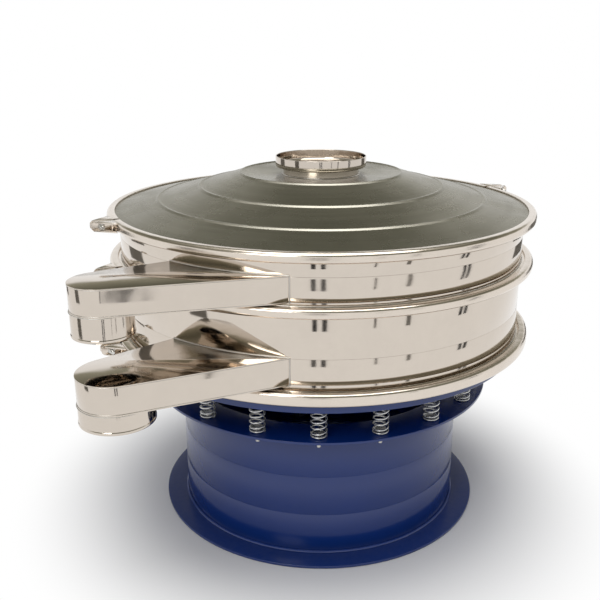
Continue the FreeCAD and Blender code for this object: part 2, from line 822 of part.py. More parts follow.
def build_clamp_half(name, joint_z, height, turn):
    """Half of a clamp ring, with a drilled lug and two gussets at each end."""
    body = new_body(name)
    profile = new_sketch(body, name + "_profile", "YZ_Plane")
    draw_outline(profile, clamp_profile(joint_z, height))
    gap_angle = closure_gap / clamp_r * (180 / math.pi)
    revolve(body, profile, as_size(180) - gap_angle)
    half_h = clamp_h / 2
    inner_x = clamp_r - clamp_web_t
    outer_x = clamp_r + lug_reach
    corner = half_h / 2
    lug = new_sketch(body, name + "_lug", "XZ_Plane", -closure_gap / 2)
    draw_outline(lug, [
        (inner_x, joint_z - half_h),
        (outer_x - corner, joint_z - half_h),
        (outer_x, joint_z - half_h + corner),
        (outer_x, joint_z + half_h - corner),
        (outer_x - corner, joint_z + half_h),
        (inner_x, joint_z + half_h),
    ])
    draw_circle(lug, closure_bolt_x, joint_z, closure_bolt_r + closure_bolt_play)
    features = [pad(body, lug, lug_t, True)]
    tab_y = closure_gap / 2 + lug_t
    for side, start in (("top", joint_z + half_h - gusset_t), ("low", joint_z - half_h)):
        gusset = new_sketch(body, f"{name}_{side}_gusset", "XY_Plane", start)
        draw_outline(gusset, [
            (inner_x, tab_y),
            (outer_x - corner, tab_y),
            (inner_x, tab_y + lug_back),
        ])
        features.append(pad(body, gusset, gusset_t))
    mirrored = body.newObject("PartDesign::Mirrored", name + "_second_end")
    mirrored.Originals = features
    mirrored.MirrorPlane = (origin_plane(body, "YZ_Plane"), [""])
    body.Tip = mirrored
    place_turned(body, turn)


def place_turned(body, turn):
    """Turn a body about the sieve's axis."""
    body.Placement = FreeCAD.Placement(
        FreeCAD.Vector(), FreeCAD.Rotation(FreeCAD.Vector(0, 0, 1), turn.value))
    body.setExpression(".Placement.Rotation.Angle", turn.text)


def build_closure_bolts(name, joint_z, turn):
    """Two bolts across a ring's closures, held by the rear half."""
    body = new_body(name)
    head_y = closure_gap / 2 + lug_t
    head = new_sketch(body, name + "_head", "XZ_Plane", -head_y)
    draw_outline(head, regular_corners(closure_bolt_x, joint_z, closure_nut_r, 6, 30))
    shank = new_sketch(body, name + "_shank", "XZ_Plane", -head_y)
    draw_circle(shank, closure_bolt_x, joint_z, closure_bolt_r)
    features = [
        pad(body, head, closure_nut_h, True),
        pad(body, shank, head_y * 2 + closure_bolt_end),
    ]
    mirrored = body.newObject("PartDesign::Mirrored", name + "_pair")
    mirrored.Originals = features
    mirrored.MirrorPlane = (origin_plane(body, "YZ_Plane"), [""])
    body.Tip = mirrored
    place_turned(body, turn)


def build_closure_nuts(name, joint_z, turn):
    """Two nuts that draw the front half up to the rear one."""
    body = new_body(name)
    seat_y = closure_gap / 2 + lug_t
    nut = new_sketch(body, name + "_section", "XZ_Plane", -seat_y)
    draw_outline(nut, regular_corners(closure_bolt_x, joint_z, closure_nut_r, 6, 30))
    draw_circle(nut, closure_bolt_x, joint_z, closure_bolt_r + closure_bolt_play)
    features = [pad(body, nut, closure_nut_h, True)]
    mirrored = body.newObject("PartDesign::Mirrored", name + "_pair")
    mirrored.Originals = features
    mirrored.MirrorPlane = (origin_plane(body, "YZ_Plane"), [""])
    body.Tip = mirrored
    place_turned(body, turn)


def build_clamps():
    """Three clamp rings of two halves each, with their closures."""
    rear_turn = clamp_azimuth + 90
    front_turn = clamp_azimuth - 90
    for ring, joint_z, height in (
            ("top", top_joint_z, clamp_h),
            ("middle", mid_joint_z, clamp_h),
            ("bottom", low_joint_z, low_clamp_h)):
        build_clamp_half(f"{ring}_clamp_front", joint_z, height, front_turn)
        build_clamp_half(f"{ring}_clamp_rear", joint_z, height, rear_turn)
        build_closure_bolts(f"{ring}_closure_bolts", joint_z, rear_turn)
        build_closure_nuts(f"{ring}_closure_nuts", joint_z, front_turn)


# ---------------------------------------------------------------- assembly and export
def build_all():
    """Build every sub-part."""
    build_foot_flange()
    build_base_drum()
    build_hatch_cover()
    build_spring_shelf()
    build_lower_locators()
    build_springs()
    build_table()
    build_upper_locators()
    build_motor_housing()
    build_motor_bolts()
    build_motor_shaft()
    build_weights()
    build_frames()
    build_fines_floor()
    build_screen()
    build_seal("bottom_seal", low_joint_z)
    build_seal("lid_seal", top_joint_z)
    upper_outlet = (upper_outlet_x, upper_outlet_y, upper_outlet_r)
    lower_outlet = (lower_outlet_x, lower_outlet_y, lower_outlet_r)
    build_duct("upper_duct", upper_duct_z, upper_duct_h, upper_outlet)
    build_spout("upper_spout", upper_duct_z, upper_spout_h, upper_outlet)
    build_duct("lower_duct", lower_duct_z, lower_duct_h, lower_outlet)
    build_spout("lower_spout", lower_duct_z, lower_spout_h, lower_outlet)
    build_lid()
    build_inlet_neck()
    build_clamps()


def check_all():
    """Stop before anything is written if an object failed."""
    for item in DOC.Objects:
        if "Invalid" in item.State or "Error" in item.State:
            raise RuntimeError(f"{item.Name} did not build: {item.State}")
    for node in NODES:
        if node.Shape.isNull() or not node.Shape.isValid():
            raise RuntimeError(f"{node.Label} has no valid shape")


def export_all():
    """Write one STEP file for each node."""
    os.makedirs("parts", exist_ok=True)
    for node in NODES:
        node.Shape.exportStep(f"parts/{node.Label}.step")


build_all()
DOC.recompute()
check_all()
export_all()
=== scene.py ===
"""Visible pieces, finishes and studio of a round vibrating sieve, built on its solid frame."""

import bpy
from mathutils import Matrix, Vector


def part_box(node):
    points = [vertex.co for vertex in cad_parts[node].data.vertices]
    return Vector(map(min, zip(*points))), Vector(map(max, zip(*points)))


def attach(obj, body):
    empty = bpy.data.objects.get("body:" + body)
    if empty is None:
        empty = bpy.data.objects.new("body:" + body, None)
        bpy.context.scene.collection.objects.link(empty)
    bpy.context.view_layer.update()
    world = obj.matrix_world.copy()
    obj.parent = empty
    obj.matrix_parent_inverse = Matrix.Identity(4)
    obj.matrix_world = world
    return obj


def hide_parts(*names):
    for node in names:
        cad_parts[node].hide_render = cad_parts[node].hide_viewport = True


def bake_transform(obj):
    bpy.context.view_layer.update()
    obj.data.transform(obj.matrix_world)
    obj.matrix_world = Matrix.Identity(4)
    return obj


bl_info = {
    "name": "Round vibrating sieve",
    "version": (1, 0, 0),
    "blender": (4, 5, 0),
    "location": "3D View > Sidebar > Sieve",
    "description": "Builds the visible pieces, finishes and studio of a round vibrating sieve",
    "category": "Add Mesh",
}

import math

import bpy
import numpy as np
from mathutils import Vector

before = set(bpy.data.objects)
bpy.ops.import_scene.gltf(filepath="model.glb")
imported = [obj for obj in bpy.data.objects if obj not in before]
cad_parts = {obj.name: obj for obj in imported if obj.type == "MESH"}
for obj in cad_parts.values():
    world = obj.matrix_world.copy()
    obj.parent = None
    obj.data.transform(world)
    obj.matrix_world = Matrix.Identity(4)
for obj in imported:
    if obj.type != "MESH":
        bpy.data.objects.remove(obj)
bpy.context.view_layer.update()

TAU = 2 * math.pi


def low(node):
    """Lowest corner of a solid at rest."""
    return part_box(node)[0]


def high(node):
    """Highest corner of a solid at rest."""
    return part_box(node)[1]


# ------------------------------------------------------------------ arrays and shells
def rounded(corners, radius, steps=5):
    """Closed outline with round corners.

    Each corner is replaced by an arc that touches both its sides: the arc's ends lie
    radius / tan(half the corner's angle) along the sides, and its points turn evenly
    between them about the centre on the bisector.
    """
    at = np.asarray(corners, float)
    radius = np.broadcast_to(np.asarray(radius, float), len(at))[:, None]
    back = np.roll(at, 1, 0) - at
    ahead = np.roll(at, -1, 0) - at
    back /= np.linalg.norm(back, axis=1, keepdims=True)
    ahead /= np.linalg.norm(ahead, axis=1, keepdims=True)
    half = np.arccos(np.clip((back * ahead).sum(1, keepdims=True), -1, 1)) / 2
    centre = back + ahead
    centre /= np.maximum(np.linalg.norm(centre, axis=1, keepdims=True), 1e-9)
    centre = at + centre * radius / np.sin(half)
    first = at + back * radius / np.tan(half) - centre
    last = at + ahead * radius / np.tan(half) - centre
    turn = np.pi - 2 * half
    share = np.linspace(0, 1, steps)[None, :, None]
    turn = turn[:, :, None]
    arc = (np.sin((1 - share) * turn) * first[:, None] + np.sin(share * turn) * last[:, None])
    arc = centre[:, None] + arc / np.maximum(np.sin(turn), 1e-9)
    outline = arc.reshape(-1, at.shape[1])
    apart = np.linalg.norm(outline - np.roll(outline, 1, 0), axis=1) > 1e-7
    return outline[apart]


def shell(points, closed_rows=False):
    """Faces for a grid of points whose rows are closed loops.

    Four neighbouring points make one face. Rows that don't close on each other end in a
    flat face each. The result is (points, four-cornered faces, end faces).
    """
    rows, columns = points.shape[:2]
    index = np.arange(rows * columns).reshape(rows, columns)
    here = index if closed_rows else index[:-1]
    following = np.roll(index, -1, 0) if closed_rows else index[1:]
    quads = np.stack([here, np.roll(here, -1, 1), np.roll(following, -1, 1), following], -1)
    ends = [] if closed_rows else [index[0][::-1], index[-1]]
    return points.reshape(-1, 3), quads.reshape(-1, 4), ends


def turned(outline, steps=240, start=0.0, end=360.0):
    """Surface of revolution: outline point (r, z) goes to (r cos t, r sin t, z)."""
    whole = end - start > 359.99
    angle = np.radians(np.linspace(start, end, steps, endpoint=not whole))[:, None]
    r, z = np.asarray(outline, float).T
    points = np.stack([np.cos(angle) * r, np.sin(angle) * r, z + 0 * angle], -1)
    return shell(points, whole)


def swept(path, section, up=(0, 0, 1), closed=False):
    """Section carried along a path.

    The side vector is the path's direction crossed with up, and the lift vector is the
    side vector crossed with the direction; section point (a, b) goes to
    path + a side + b lift. A section with one array per path point may change its size.
    """
    path = np.asarray(path, float)
    if closed:
        ahead = np.roll(path, -1, 0) - np.roll(path, 1, 0)
    else:
        ahead = np.gradient(path, axis=0)
    ahead /= np.linalg.norm(ahead, axis=1, keepdims=True)
    side = np.cross(ahead, np.broadcast_to(np.asarray(up, float), path.shape))
    side /= np.linalg.norm(side, axis=1, keepdims=True)
    lift = np.cross(side, ahead)
    section = np.broadcast_to(section, (len(path),) + np.shape(section)[-2:])
    points = path[:, None] + section[..., :1] * side[:, None] + section[..., 1:] * lift[:, None]
    return shell(points, closed)


def ring_section(radius, sides=10):
    """Points of a circle, for a round wire or bead."""
    angle = np.linspace(0, TAU, sides, endpoint=False)
    return np.stack([np.cos(angle), np.sin(angle)], -1) * radius


def bead(path, radius, pitch=0.004, closed=False, up=(0, 0, 1), uneven=0.14, sides=8):
    """Weld bead: a round section whose radius swells by a share at each pitch along the path."""
    path = np.asarray(path, float)
    step = np.linalg.norm(np.diff(path, axis=0, append=path[:1] if closed else path[-1:]), axis=1)
    along = np.cumsum(step)
    swell = 1 + uneven * np.abs(np.sin(np.pi * along / pitch)) + uneven * 0.5 * np.sin(along * 97)
    section = ring_section(radius, sides)[None] * swell[:, None, None]
    return swept(path, section, up, closed)


def slab(outline, bottom, top, edge=0.0, steps=3):
    """Flat plate with a quarter-round edge.

    The outline is repeated at heights that follow a quarter circle at each face, moved
    inwards along its own normal by what is left of the edge's radius.
    """
    outline = np.asarray(outline, float)
    along = np.roll(outline, -1, 0) - np.roll(outline, 1, 0)
    along /= np.maximum(np.linalg.norm(along, axis=1, keepdims=True), 1e-12)
    inward = np.stack([-along[:, 1], along[:, 0]], -1)
    area = (outline[:, 0] * np.roll(outline[:, 1], -1) - np.roll(outline[:, 0], -1) * outline[:, 1])
    inward *= np.sign(area.sum())
    if edge > 0:
        bend = np.linspace(0, math.pi / 2, steps)
        inset = np.concatenate([edge * (1 - np.sin(bend)), edge * (1 - np.sin(bend[::-1]))])
        height = np.concatenate([bottom + edge * (1 - np.cos(bend)),
                                 top - edge * (1 - np.cos(bend[::-1]))])
    else:
        inset, height = np.zeros(2), np.array([bottom, top])
    flat = outline[None] + inward[None] * inset[:, None, None]
    level = np.broadcast_to(height[:, None, None], flat.shape[:2] + (1,))
    return shell(np.concatenate([flat, level], -1))


def hexagon_head(corner_r, bottom, top, chamfer=0.93, sides=48):
    """Hexagon nut or head: the flats' radius is the inner radius over cos of the angle from
    the middle of a flat, and both faces slope down outside a circle, as a turned chamfer."""
    angle = np.linspace(0, TAU, sides, endpoint=False)
    inner = corner_r * math.cos(math.pi / 6)
    reach = inner / np.cos((angle + math.pi / 6) % (math.pi / 3) - math.pi / 6)
    cap = corner_r * chamfer
    fall = np.maximum(reach - cap, 0) * 0.58
    rows = []
    for radius, height in ((np.minimum(reach, cap), bottom), (reach, bottom + fall),
                           (reach, top - fall), (np.minimum(reach, cap), top)):
        rows.append(np.stack([radius * np.cos(angle), radius * np.sin(angle),
                              np.broadcast_to(height, angle.shape)], -1))
    return shell(np.stack(rows))


def rod(radius, bottom, top, pitch=0.0, depth=0.0, sides=20):
    """Round rod; with a pitch its radius dips evenly along its length, like a thread."""
    count = 2 if pitch <= 0 else max(3, int((top - bottom) / pitch * 4) + 1)
    height = np.linspace(bottom, top, count)
    radii = radius - (depth * (0.5 + 0.5 * np.sin(TAU * height / pitch)) if pitch > 0 else 0)
    radii = np.broadcast_to(radii, height.shape)
    angle = np.linspace(0, TAU, sides, endpoint=False)
    points = np.stack([radii[:, None] * np.cos(angle), radii[:, None] * np.sin(angle),
                       np.broadcast_to(height[:, None], (count, sides))], -1)
    return shell(points)


def moved(part, offset):
    """The same shell shifted by an offset."""
    return part[0] + np.asarray(offset, float), part[1], part[2]


def spun(part, degrees):
    """The same shell turned about the sieve's upright axis."""
    c, s = math.cos(math.radians(degrees)), math.sin(math.radians(degrees))
    return part[0] @ np.array([[c, s, 0], [-s, c, 0], [0, 0, 1]]), part[1], part[2]


def stood(part, axes):
    """The same shell with its axes exchanged, such as (0, 2, 1) to lay it on its side."""
    return part[0][:, axes], part[1], part[2]


def ring_of(parts, count, first=0.0):
    """Copies of some shells spaced evenly round the axis."""
    return [spun(p, first + 360.0 * i / count) for i in range(count) for p in parts]


def enclosed(points, quads, ends):
    """Volume inside a shell: the sum over its triangles of the triple product over six."""
    fans = [quads[:, [0, 1, 2]], quads[:, [0, 2, 3]]]
    fans += [np.stack([np.full(len(e) - 2, e[0]), e[1:-1], e[2:]], -1) for e in ends]
    a, b, c = (points[np.concatenate(fans)[:, i]] for i in range(3))
    return (a * np.cross(b, c)).sum() / 6


def make_piece(name, parts, finish, body, replaces=(), crease=32.0):
    """One mesh object from closed shells, each turned to face outwards, riding on a body."""
    points, starts, corners = [], [], []
    first_point = first_corner = 0
    for part_points, quads, ends in parts:
        flip = -1 if enclosed(part_points, quads, ends) < 0 else 1
        points.append(part_points)
        faces = (quads[:, ::flip] + first_point).reshape(-1)
        corners.append(faces)
        starts.append(first_corner + np.arange(len(quads)) * 4)
        first_corner += len(faces)
        for end in ends:
            corners.append(end[::flip] + first_point)
            starts.append(np.array([first_corner]))
            first_corner += len(end)
        first_point += len(part_points)
    points, starts, corners = (np.concatenate(a) for a in (points, starts, corners))
    mesh = bpy.data.meshes.new(name)
    mesh.vertices.add(len(points))
    mesh.vertices.foreach_set("co", points.astype(np.float32).ravel())
    mesh.loops.add(len(corners))
    mesh.loops.foreach_set("vertex_index", corners.astype(np.int32))
    mesh.polygons.add(len(starts))
    mesh.polygons.foreach_set("loop_start", starts.astype(np.int32))
    mesh.update(calc_edges=True)
    mesh.validate()
    mesh.shade_smooth()
    mesh.set_sharp_from_angle(angle=math.radians(crease))
    mesh.materials.append(finish)
    piece = bpy.data.objects.new(name, mesh)
    bpy.context.scene.collection.objects.link(piece)
    if body:
        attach(piece, body)
    if replaces:
        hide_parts(*replaces)
    return piece


def wall(outer_r, inner_r, bottom, top, window=None, edge=0.0006):
    """Rolled sheet wall as turned rings; a window (low z, high z, first and last azimuth)
    leaves its band open between the two azimuths."""
    def band(z0, z1, start=0.0, end=360.0):
        """One band of the wall between two heights."""
        corners = [(inner_r, z0), (outer_r, z0), (outer_r, z1), (inner_r, z1)]
        return turned(rounded(corners, edge, 3), 360, start, end)
    if window is None:
        return [band(bottom, top)]
    z0, z1, first, last = window
    return [band(bottom, z0), band(z0, z1, last, first + 360.0), band(z1, top)]


# ------------------------------------------------------------------ finishes
def new_finish(name):
    """An empty material with its shader and output: (material, nodes, links, shader)."""
    material = bpy.data.materials.new(name)
    material.use_nodes = True
    nodes, links = material.node_tree.nodes, material.node_tree.links
    return material, nodes, links, nodes["Principled BSDF"]


def group(name, inputs, outputs):
    """A shader node group with named float inputs and typed outputs."""
    tree = bpy.data.node_groups.new(name, "ShaderNodeTree")
    for label, value in inputs:
        socket = tree.interface.new_socket(name=label, in_out="INPUT", socket_type="NodeSocketFloat")
        socket.default_value = value
    for label, kind in outputs:
        tree.interface.new_socket(name=label, in_out="OUTPUT", socket_type=kind)
    return tree, tree.nodes.new("NodeGroupInput"), tree.nodes.new("NodeGroupOutput")


def maths(tree, operation, first, second=None, clamp=False):
    """A Math node whose inputs are sockets or numbers; returns its result."""
    node = tree.nodes.new("ShaderNodeMath")
    node.operation = operation
    node.use_clamp = clamp
    for socket, value in zip(node.inputs, (first, second)):
        if value is None:
            continue
        if isinstance(value, (int, float)):
            socket.default_value = value
        else:
            tree.links.new(value, socket)
    return node.outputs[0]


def noise(tree, vector, scale, detail=2.0, roughness=0.5):
    """A Noise Texture's factor at a vector."""
    node = tree.nodes.new("ShaderNodeTexNoise")
    node.inputs["Scale"].default_value = scale
    node.inputs["Detail"].default_value = detail
    node.inputs["Roughness"].default_value = roughness
    tree.links.new(vector, node.inputs["Vector"])
    return node.outputs["Fac"]


def combine(tree, x, y, z):
    """A vector of three sockets or numbers."""
    node = tree.nodes.new("ShaderNodeCombineXYZ")
    for socket, value in zip(node.inputs, (x, y, z)):
        if isinstance(value, (int, float)):
            socket.default_value = value
        else:
            tree.links.new(value, socket)
    return node.outputs[0]


def round_axis(tree):
    """Object coordinates about the upright axis: (radius, azimuth in radians, height)."""
    place = tree.nodes.new("ShaderNodeTexCoord").outputs["Object"]
    parts = tree.nodes.new("ShaderNodeSeparateXYZ")
    tree.links.new(place, parts.inputs[0])
    x, y, z = parts.outputs
    radius = maths(tree, "SQRT", maths(tree, "ADD", maths(tree, "MULTIPLY", x, x),
                                       maths(tree, "MULTIPLY", y, y)))
    return place, radius, maths(tree, "ARCTAN2", y, x), z


def ring_grain():
    """Brush lines that run in circles: noise read at a radius and height drawn out far more
    than the azimuth. Gives the line height, a wide uneven tone and a roughness mask."""
    tree, start, end = group("Ring grain", [("Fineness", 900.0), ("Streak", 1.6)],
                             [("Height", "NodeSocketFloat"), ("Tone", "NodeSocketFloat"),
                              ("Haze", "NodeSocketFloat")])
    place, radius, azimuth, z = round_axis(tree)
    fine, streak = start.outputs["Fineness"], start.outputs["Streak"]
    lines = combine(tree, maths(tree, "MULTIPLY", radius, fine),
                    maths(tree, "MULTIPLY", azimuth, streak), maths(tree, "MULTIPLY", z, fine))
    wide = combine(tree, maths(tree, "MULTIPLY", radius, 46.0), maths(tree, "MULTIPLY", azimuth, 0.8),
                   maths(tree, "MULTIPLY", z, 46.0))
    tree.links.new(noise(tree, lines, 1.0, 3.0, 0.6), end.inputs["Height"])
    tree.links.new(noise(tree, wide, 1.0, 3.0, 0.65), end.inputs["Tone"])
    tree.links.new(noise(tree, place, 7.0, 3.0, 0.6), end.inputs["Haze"])
    return tree


def sheet_ripple():
    """Slow waves of hand-finished thin sheet and a fine polish haze, both from noise."""
    tree, start, end = group("Sheet ripple", [("Wave", 5.0)],
                             [("Height", "NodeSocketFloat"), ("Haze", "NodeSocketFloat"),
                              ("Polish", "NodeSocketFloat")])
    place, radius, azimuth, z = round_axis(tree)
    sway = combine(tree, maths(tree, "MULTIPLY", azimuth, 2.4), maths(tree, "MULTIPLY", radius, 3.0),
                   maths(tree, "MULTIPLY", z, 1.3))
    wave = noise(tree, sway, 1.0, 1.0, 0.4)
    slow = tree.nodes.new("ShaderNodeTexNoise")
    slow.inputs["Detail"].default_value = 1.0
    tree.links.new(place, slow.inputs["Vector"])
    tree.links.new(start.outputs["Wave"], slow.inputs["Scale"])
    tree.links.new(maths(tree, "ADD", wave, slow.outputs["Fac"]), end.inputs["Height"])
    tree.links.new(noise(tree, place, 16.0, 4.0, 0.65), end.inputs["Haze"])
    rub = combine(tree, maths(tree, "MULTIPLY", azimuth, 9.0), maths(tree, "MULTIPLY", radius, 260.0),
                  maths(tree, "MULTIPLY", z, 420.0))
    tree.links.new(noise(tree, rub, 1.0, 2.0, 0.6), end.inputs["Polish"])
    return tree


def paint_wear():
    """Orange-peel height, dust that gathers low down, and faint scuffs, for sprayed steel."""
    tree, start, end = group("Paint wear", [("Dust Top", 0.02)],
                             [("Peel", "NodeSocketFloat"), ("Dust", "NodeSocketFloat"),
                              ("Scuff", "NodeSocketFloat"), ("Mottle", "NodeSocketFloat")])
    place, radius, azimuth, z = round_axis(tree)
    tree.links.new(noise(tree, place, 420.0, 2.0), end.inputs["Peel"])
    near_floor = maths(tree, "SUBTRACT", 1.0, maths(tree, "DIVIDE", z, start.outputs["Dust Top"]), True)
    speckle = maths(tree, "MULTIPLY", noise(tree, place, 60.0, 5.0, 0.7), near_floor)
    tree.links.new(speckle, end.inputs["Dust"])
    rub = combine(tree, maths(tree, "MULTIPLY", azimuth, 14.0), radius, maths(tree, "MULTIPLY", z, 5.0))
    scuff = maths(tree, "SUBTRACT", noise(tree, rub, 3.0, 6.0, 0.75), 0.62, True)
    tree.links.new(maths(tree, "MULTIPLY", scuff, 5.0, True), end.inputs["Scuff"])
    tree.links.new(noise(tree, place, 3.2, 3.0, 0.55), end.inputs["Mottle"])
    return tree


def placed(nodes, tree, **values):
    """A node group standing in a material with its own values."""
    node = nodes.new("ShaderNodeGroup")
    node.node_tree = tree
    for label, value in values.items():
        node.inputs[label.replace("_", " ")].default_value = value
    return node


def two_tone(nodes, links, factor, first, second):
    """A colour between two colours, by a factor socket."""
    mix = nodes.new("ShaderNodeMix")
    mix.data_type = "RGBA"
    links.new(factor, mix.inputs["Factor"])
    mix.inputs["A"].default_value = (*first, 1)
    mix.inputs["B"].default_value = (*second, 1)
    return mix.outputs["Result"]


def spread(nodes, links, factor, lowest, highest, start=0.25, stop=0.75):
    """A number between two limits, by where a factor lies between start and stop."""
    node = nodes.new("ShaderNodeMapRange")
    links.new(factor, node.inputs["Value"])
    for label, value in (("From Min", start), ("From Max", stop), ("To Min", lowest), ("To Max", highest)):
        node.inputs[label].default_value = value
    return node.outputs["Result"]


def bumped(nodes, links, shader, layers):
    """Bump nodes one after another: (height socket, depth in metres, strength) each."""
    normal = None
    for height, depth, strength in layers:
        node = nodes.new("ShaderNodeBump")
        node.inputs["Distance"].default_value = depth
        node.inputs["Strength"].default_value = strength
        links.new(height, node.inputs["Height"])
        if normal is not None:
            links.new(normal, node.inputs["Normal"])
        normal = node.outputs["Normal"]
    links.new(normal, shader.inputs["Normal"])


def shade(colour, factor):
    """A colour made darker or lighter."""
    return tuple(c * factor for c in colour)


def make_finishes(colours):
    """Every finish of the sieve, by name."""
    grain, ripple, wear = ring_grain(), sheet_ripple(), paint_wear()
    # The polished steel tint carries a painted warm reflection besides the steel's own colour, into the
    # mirror and clamp finishes made from it.
    steel = tuple(colours.steel)
    finishes = {}

    def mirror(name, rough, wave, depth, tint=1.0):
        """Polished sheet: slow waves, faint rub lines and haze."""
        material, nodes, links, shader = new_finish(name)
        waves = placed(nodes, ripple, Wave=wave)
        shader.inputs["Metallic"].default_value = 1.0
        links.new(two_tone(nodes, links, waves.outputs["Haze"], shade(steel, 0.94 * tint),
                           shade(steel, 1.06 * tint)), shader.inputs["Base Color"])
        links.new(spread(nodes, links, waves.outputs["Haze"], rough * 0.6, rough * 1.6),
                  shader.inputs["Roughness"])
        bumped(nodes, links, shader, [(waves.outputs["Height"], depth, 1.0),
                                      (waves.outputs["Polish"], 0.00001, 0.25)])
        finishes[name] = material

    mirror("mirror_sheet", 0.07, 4.0, 0.0035)
    mirror("mirror_duct", 0.09, 9.0, 0.0022, 0.98)
    mirror("mirror_neck", 0.07, 22.0, 0.0004, 0.92)

    material, nodes, links, shader = new_finish("clamp_steel")
    lines = placed(nodes, grain, Fineness=520.0, Streak=3.0)
    waves = placed(nodes, ripple, Wave=22.0)
    shader.inputs["Metallic"].default_value = 1.0
    links.new(two_tone(nodes, links, lines.outputs["Haze"], shade(steel, 1.02), shade(steel, 1.2)),
              shader.inputs["Base Color"])
    links.new(spread(nodes, links, lines.outputs["Tone"], 0.12, 0.24), shader.inputs["Roughness"])
    bumped(nodes, links, shader, [(waves.outputs["Height"], 0.0007, 1.0),
                                  (lines.outputs["Height"], 0.00004, 0.35)])
    finishes["clamp_steel"] = material

    material, nodes, links, shader = new_finish("spun_lid")
    lines = placed(nodes, grain, Fineness=700.0, Streak=1.2)
    shader.inputs["Metallic"].default_value = 1.0
    shader.inputs["Anisotropic"].default_value = 0.8
    # The lid's dark olive base colour is a painted reflection of olive grey surroundings; the noise
    # between its two shades is the brushed steel's uneven tone.
    links.new(two_tone(nodes, links, lines.outputs["Tone"], (0.30, 0.285, 0.235), (0.47, 0.45, 0.39)),
              shader.inputs["Base Color"])
    links.new(spread(nodes, links, lines.outputs["Haze"], 0.22, 0.32), shader.inputs["Roughness"])
    tangent = nodes.new("ShaderNodeTangent")
    tangent.direction_type = "RADIAL"
    tangent.axis = "Z"
    links.new(tangent.outputs[0], shader.inputs["Tangent"])
    bumped(nodes, links, shader, [(lines.outputs["Height"], 0.00009, 0.45),
                                  (lines.outputs["Tone"], 0.0006, 0.5)])
    finishes["spun_lid"] = material

    material, nodes, links, shader = new_finish("weld_steel")
    lines = placed(nodes, grain, Fineness=160.0, Streak=40.0)
    shader.inputs["Metallic"].default_value = 1.0
    links.new(two_tone(nodes, links, lines.outputs["Haze"], (0.40, 0.36, 0.31), (0.72, 0.70, 0.66)),
              shader.inputs["Base Color"])
    links.new(spread(nodes, links, lines.outputs["Haze"], 0.22, 0.5), shader.inputs["Roughness"])
    bumped(nodes, links, shader, [(lines.outputs["Height"], 0.0003, 0.6)])
    finishes["weld_steel"] = material

    # The second blue is the base paint made 1.25 times lighter for the weld beads: a painted highlight
    # along them.
    for name, blue, rough in (("blue_paint", tuple(colours.paint), 0.2),
                              ("blue_bead_painted_highlight", shade(tuple(colours.paint), 1.25), 0.16)):
        material, nodes, links, shader = new_finish(name)
        use = placed(nodes, wear, Dust_Top=0.03)
        tone = two_tone(nodes, links, use.outputs["Mottle"], shade(blue, 0.86), shade(blue, 1.12))
        dusty = nodes.new("ShaderNodeMix")
        dusty.data_type = "RGBA"
        links.new(maths(material.node_tree, "MULTIPLY", use.outputs["Dust"], 0.22),
                  dusty.inputs["Factor"])
        links.new(tone, dusty.inputs["A"])
        dusty.inputs["B"].default_value = (0.16, 0.17, 0.19, 1)
        links.new(dusty.outputs["Result"], shader.inputs["Base Color"])
        rough_now = maths(material.node_tree, "MULTIPLY_ADD", use.outputs["Scuff"], 0.16)
        rough_now.node.inputs[2].default_value = rough
        links.new(rough_now, shader.inputs["Roughness"])
        shader.inputs["IOR"].default_value = 1.5
        shader.inputs["Coat Weight"].default_value = 0.2
        shader.inputs["Coat Roughness"].default_value = 0.08
        bumped(nodes, links, shader, [(use.outputs["Peel"], 0.00012, 0.18),
                                      (use.outputs["Mottle"], 0.0035, 0.35)])
        finishes[name] = material

    for name, colour, metallic, rough, scale in (
            ("spring_zinc", (0.66, 0.66, 0.65), 1.0, 0.24, 300.0),
            ("bolt_zinc", (0.68, 0.67, 0.64), 1.0, 0.27, 260.0),
            ("ground_shaft", (0.58, 0.57, 0.55), 1.0, 0.22, 400.0),
            ("motor_paint", (0.055, 0.062, 0.07), 0.0, 0.42, 180.0),
            ("cast_weight", (0.10, 0.10, 0.105), 0.6, 0.5, 90.0),
            ("seal_silicone", (0.74, 0.73, 0.69), 0.0, 0.55, 60.0)):
        material, nodes, links, shader = new_finish(name)
        coordinates = nodes.new("ShaderNodeTexCoord").outputs["Object"]
        tree = material.node_tree
        speck = noise(tree, coordinates, scale, 4.0, 0.65)
        cloud = noise(tree, coordinates, scale * 0.08, 3.0, 0.6)
        shader.inputs["Metallic"].default_value = metallic
        links.new(two_tone(nodes, links, cloud, shade(colour, 0.82), shade(colour, 1.14)),
                  shader.inputs["Base Color"])
        links.new(spread(nodes, links, speck, rough * 0.75, rough * 1.35), shader.inputs["Roughness"])
        bumped(nodes, links, shader, [(speck, 0.0002, 0.3)])
        finishes[name] = material

    finishes["woven_wire"] = woven_wire()
    return finishes


def woven_wire():
    """Plain weave: sine waves across both directions, with a painted highlight where each wire passes on
    top and painted shade between the wires.
    """
    material, nodes, links, shader = new_finish("woven_wire")
    tree = material.node_tree
    parts = nodes.new("ShaderNodeSeparateXYZ")
    links.new(nodes.new("ShaderNodeTexCoord").outputs["Object"], parts.inputs[0])
    pitch = 2300.0
    across = maths(tree, "SINE", maths(tree, "MULTIPLY", parts.outputs[0], pitch))
    along = maths(tree, "SINE", maths(tree, "MULTIPLY", parts.outputs[1], pitch))
    over = maths(tree, "MAXIMUM", maths(tree, "ABSOLUTE", across), maths(tree, "ABSOLUTE", along))
    shader.inputs["Metallic"].default_value = 0.9
    # Near black between the wires and pale on their tops: painted shade and painted highlight of the
    # weave.
    links.new(two_tone(nodes, links, over, (0.10, 0.10, 0.10), (0.62, 0.61, 0.58)),
              shader.inputs["Base Color"])
    links.new(spread(nodes, links, over, 0.6, 0.32), shader.inputs["Roughness"])
    bumped(nodes, links, shader, [(over, 0.0004, 0.8)])
    return material


FINISHES = {}


def finish(name):
    """A finish by name, all of them made at the first call."""
    if not FINISHES:
        FINISHES.update(make_finishes(bpy.context.scene.sieve_colours))
    return FINISHES[name]


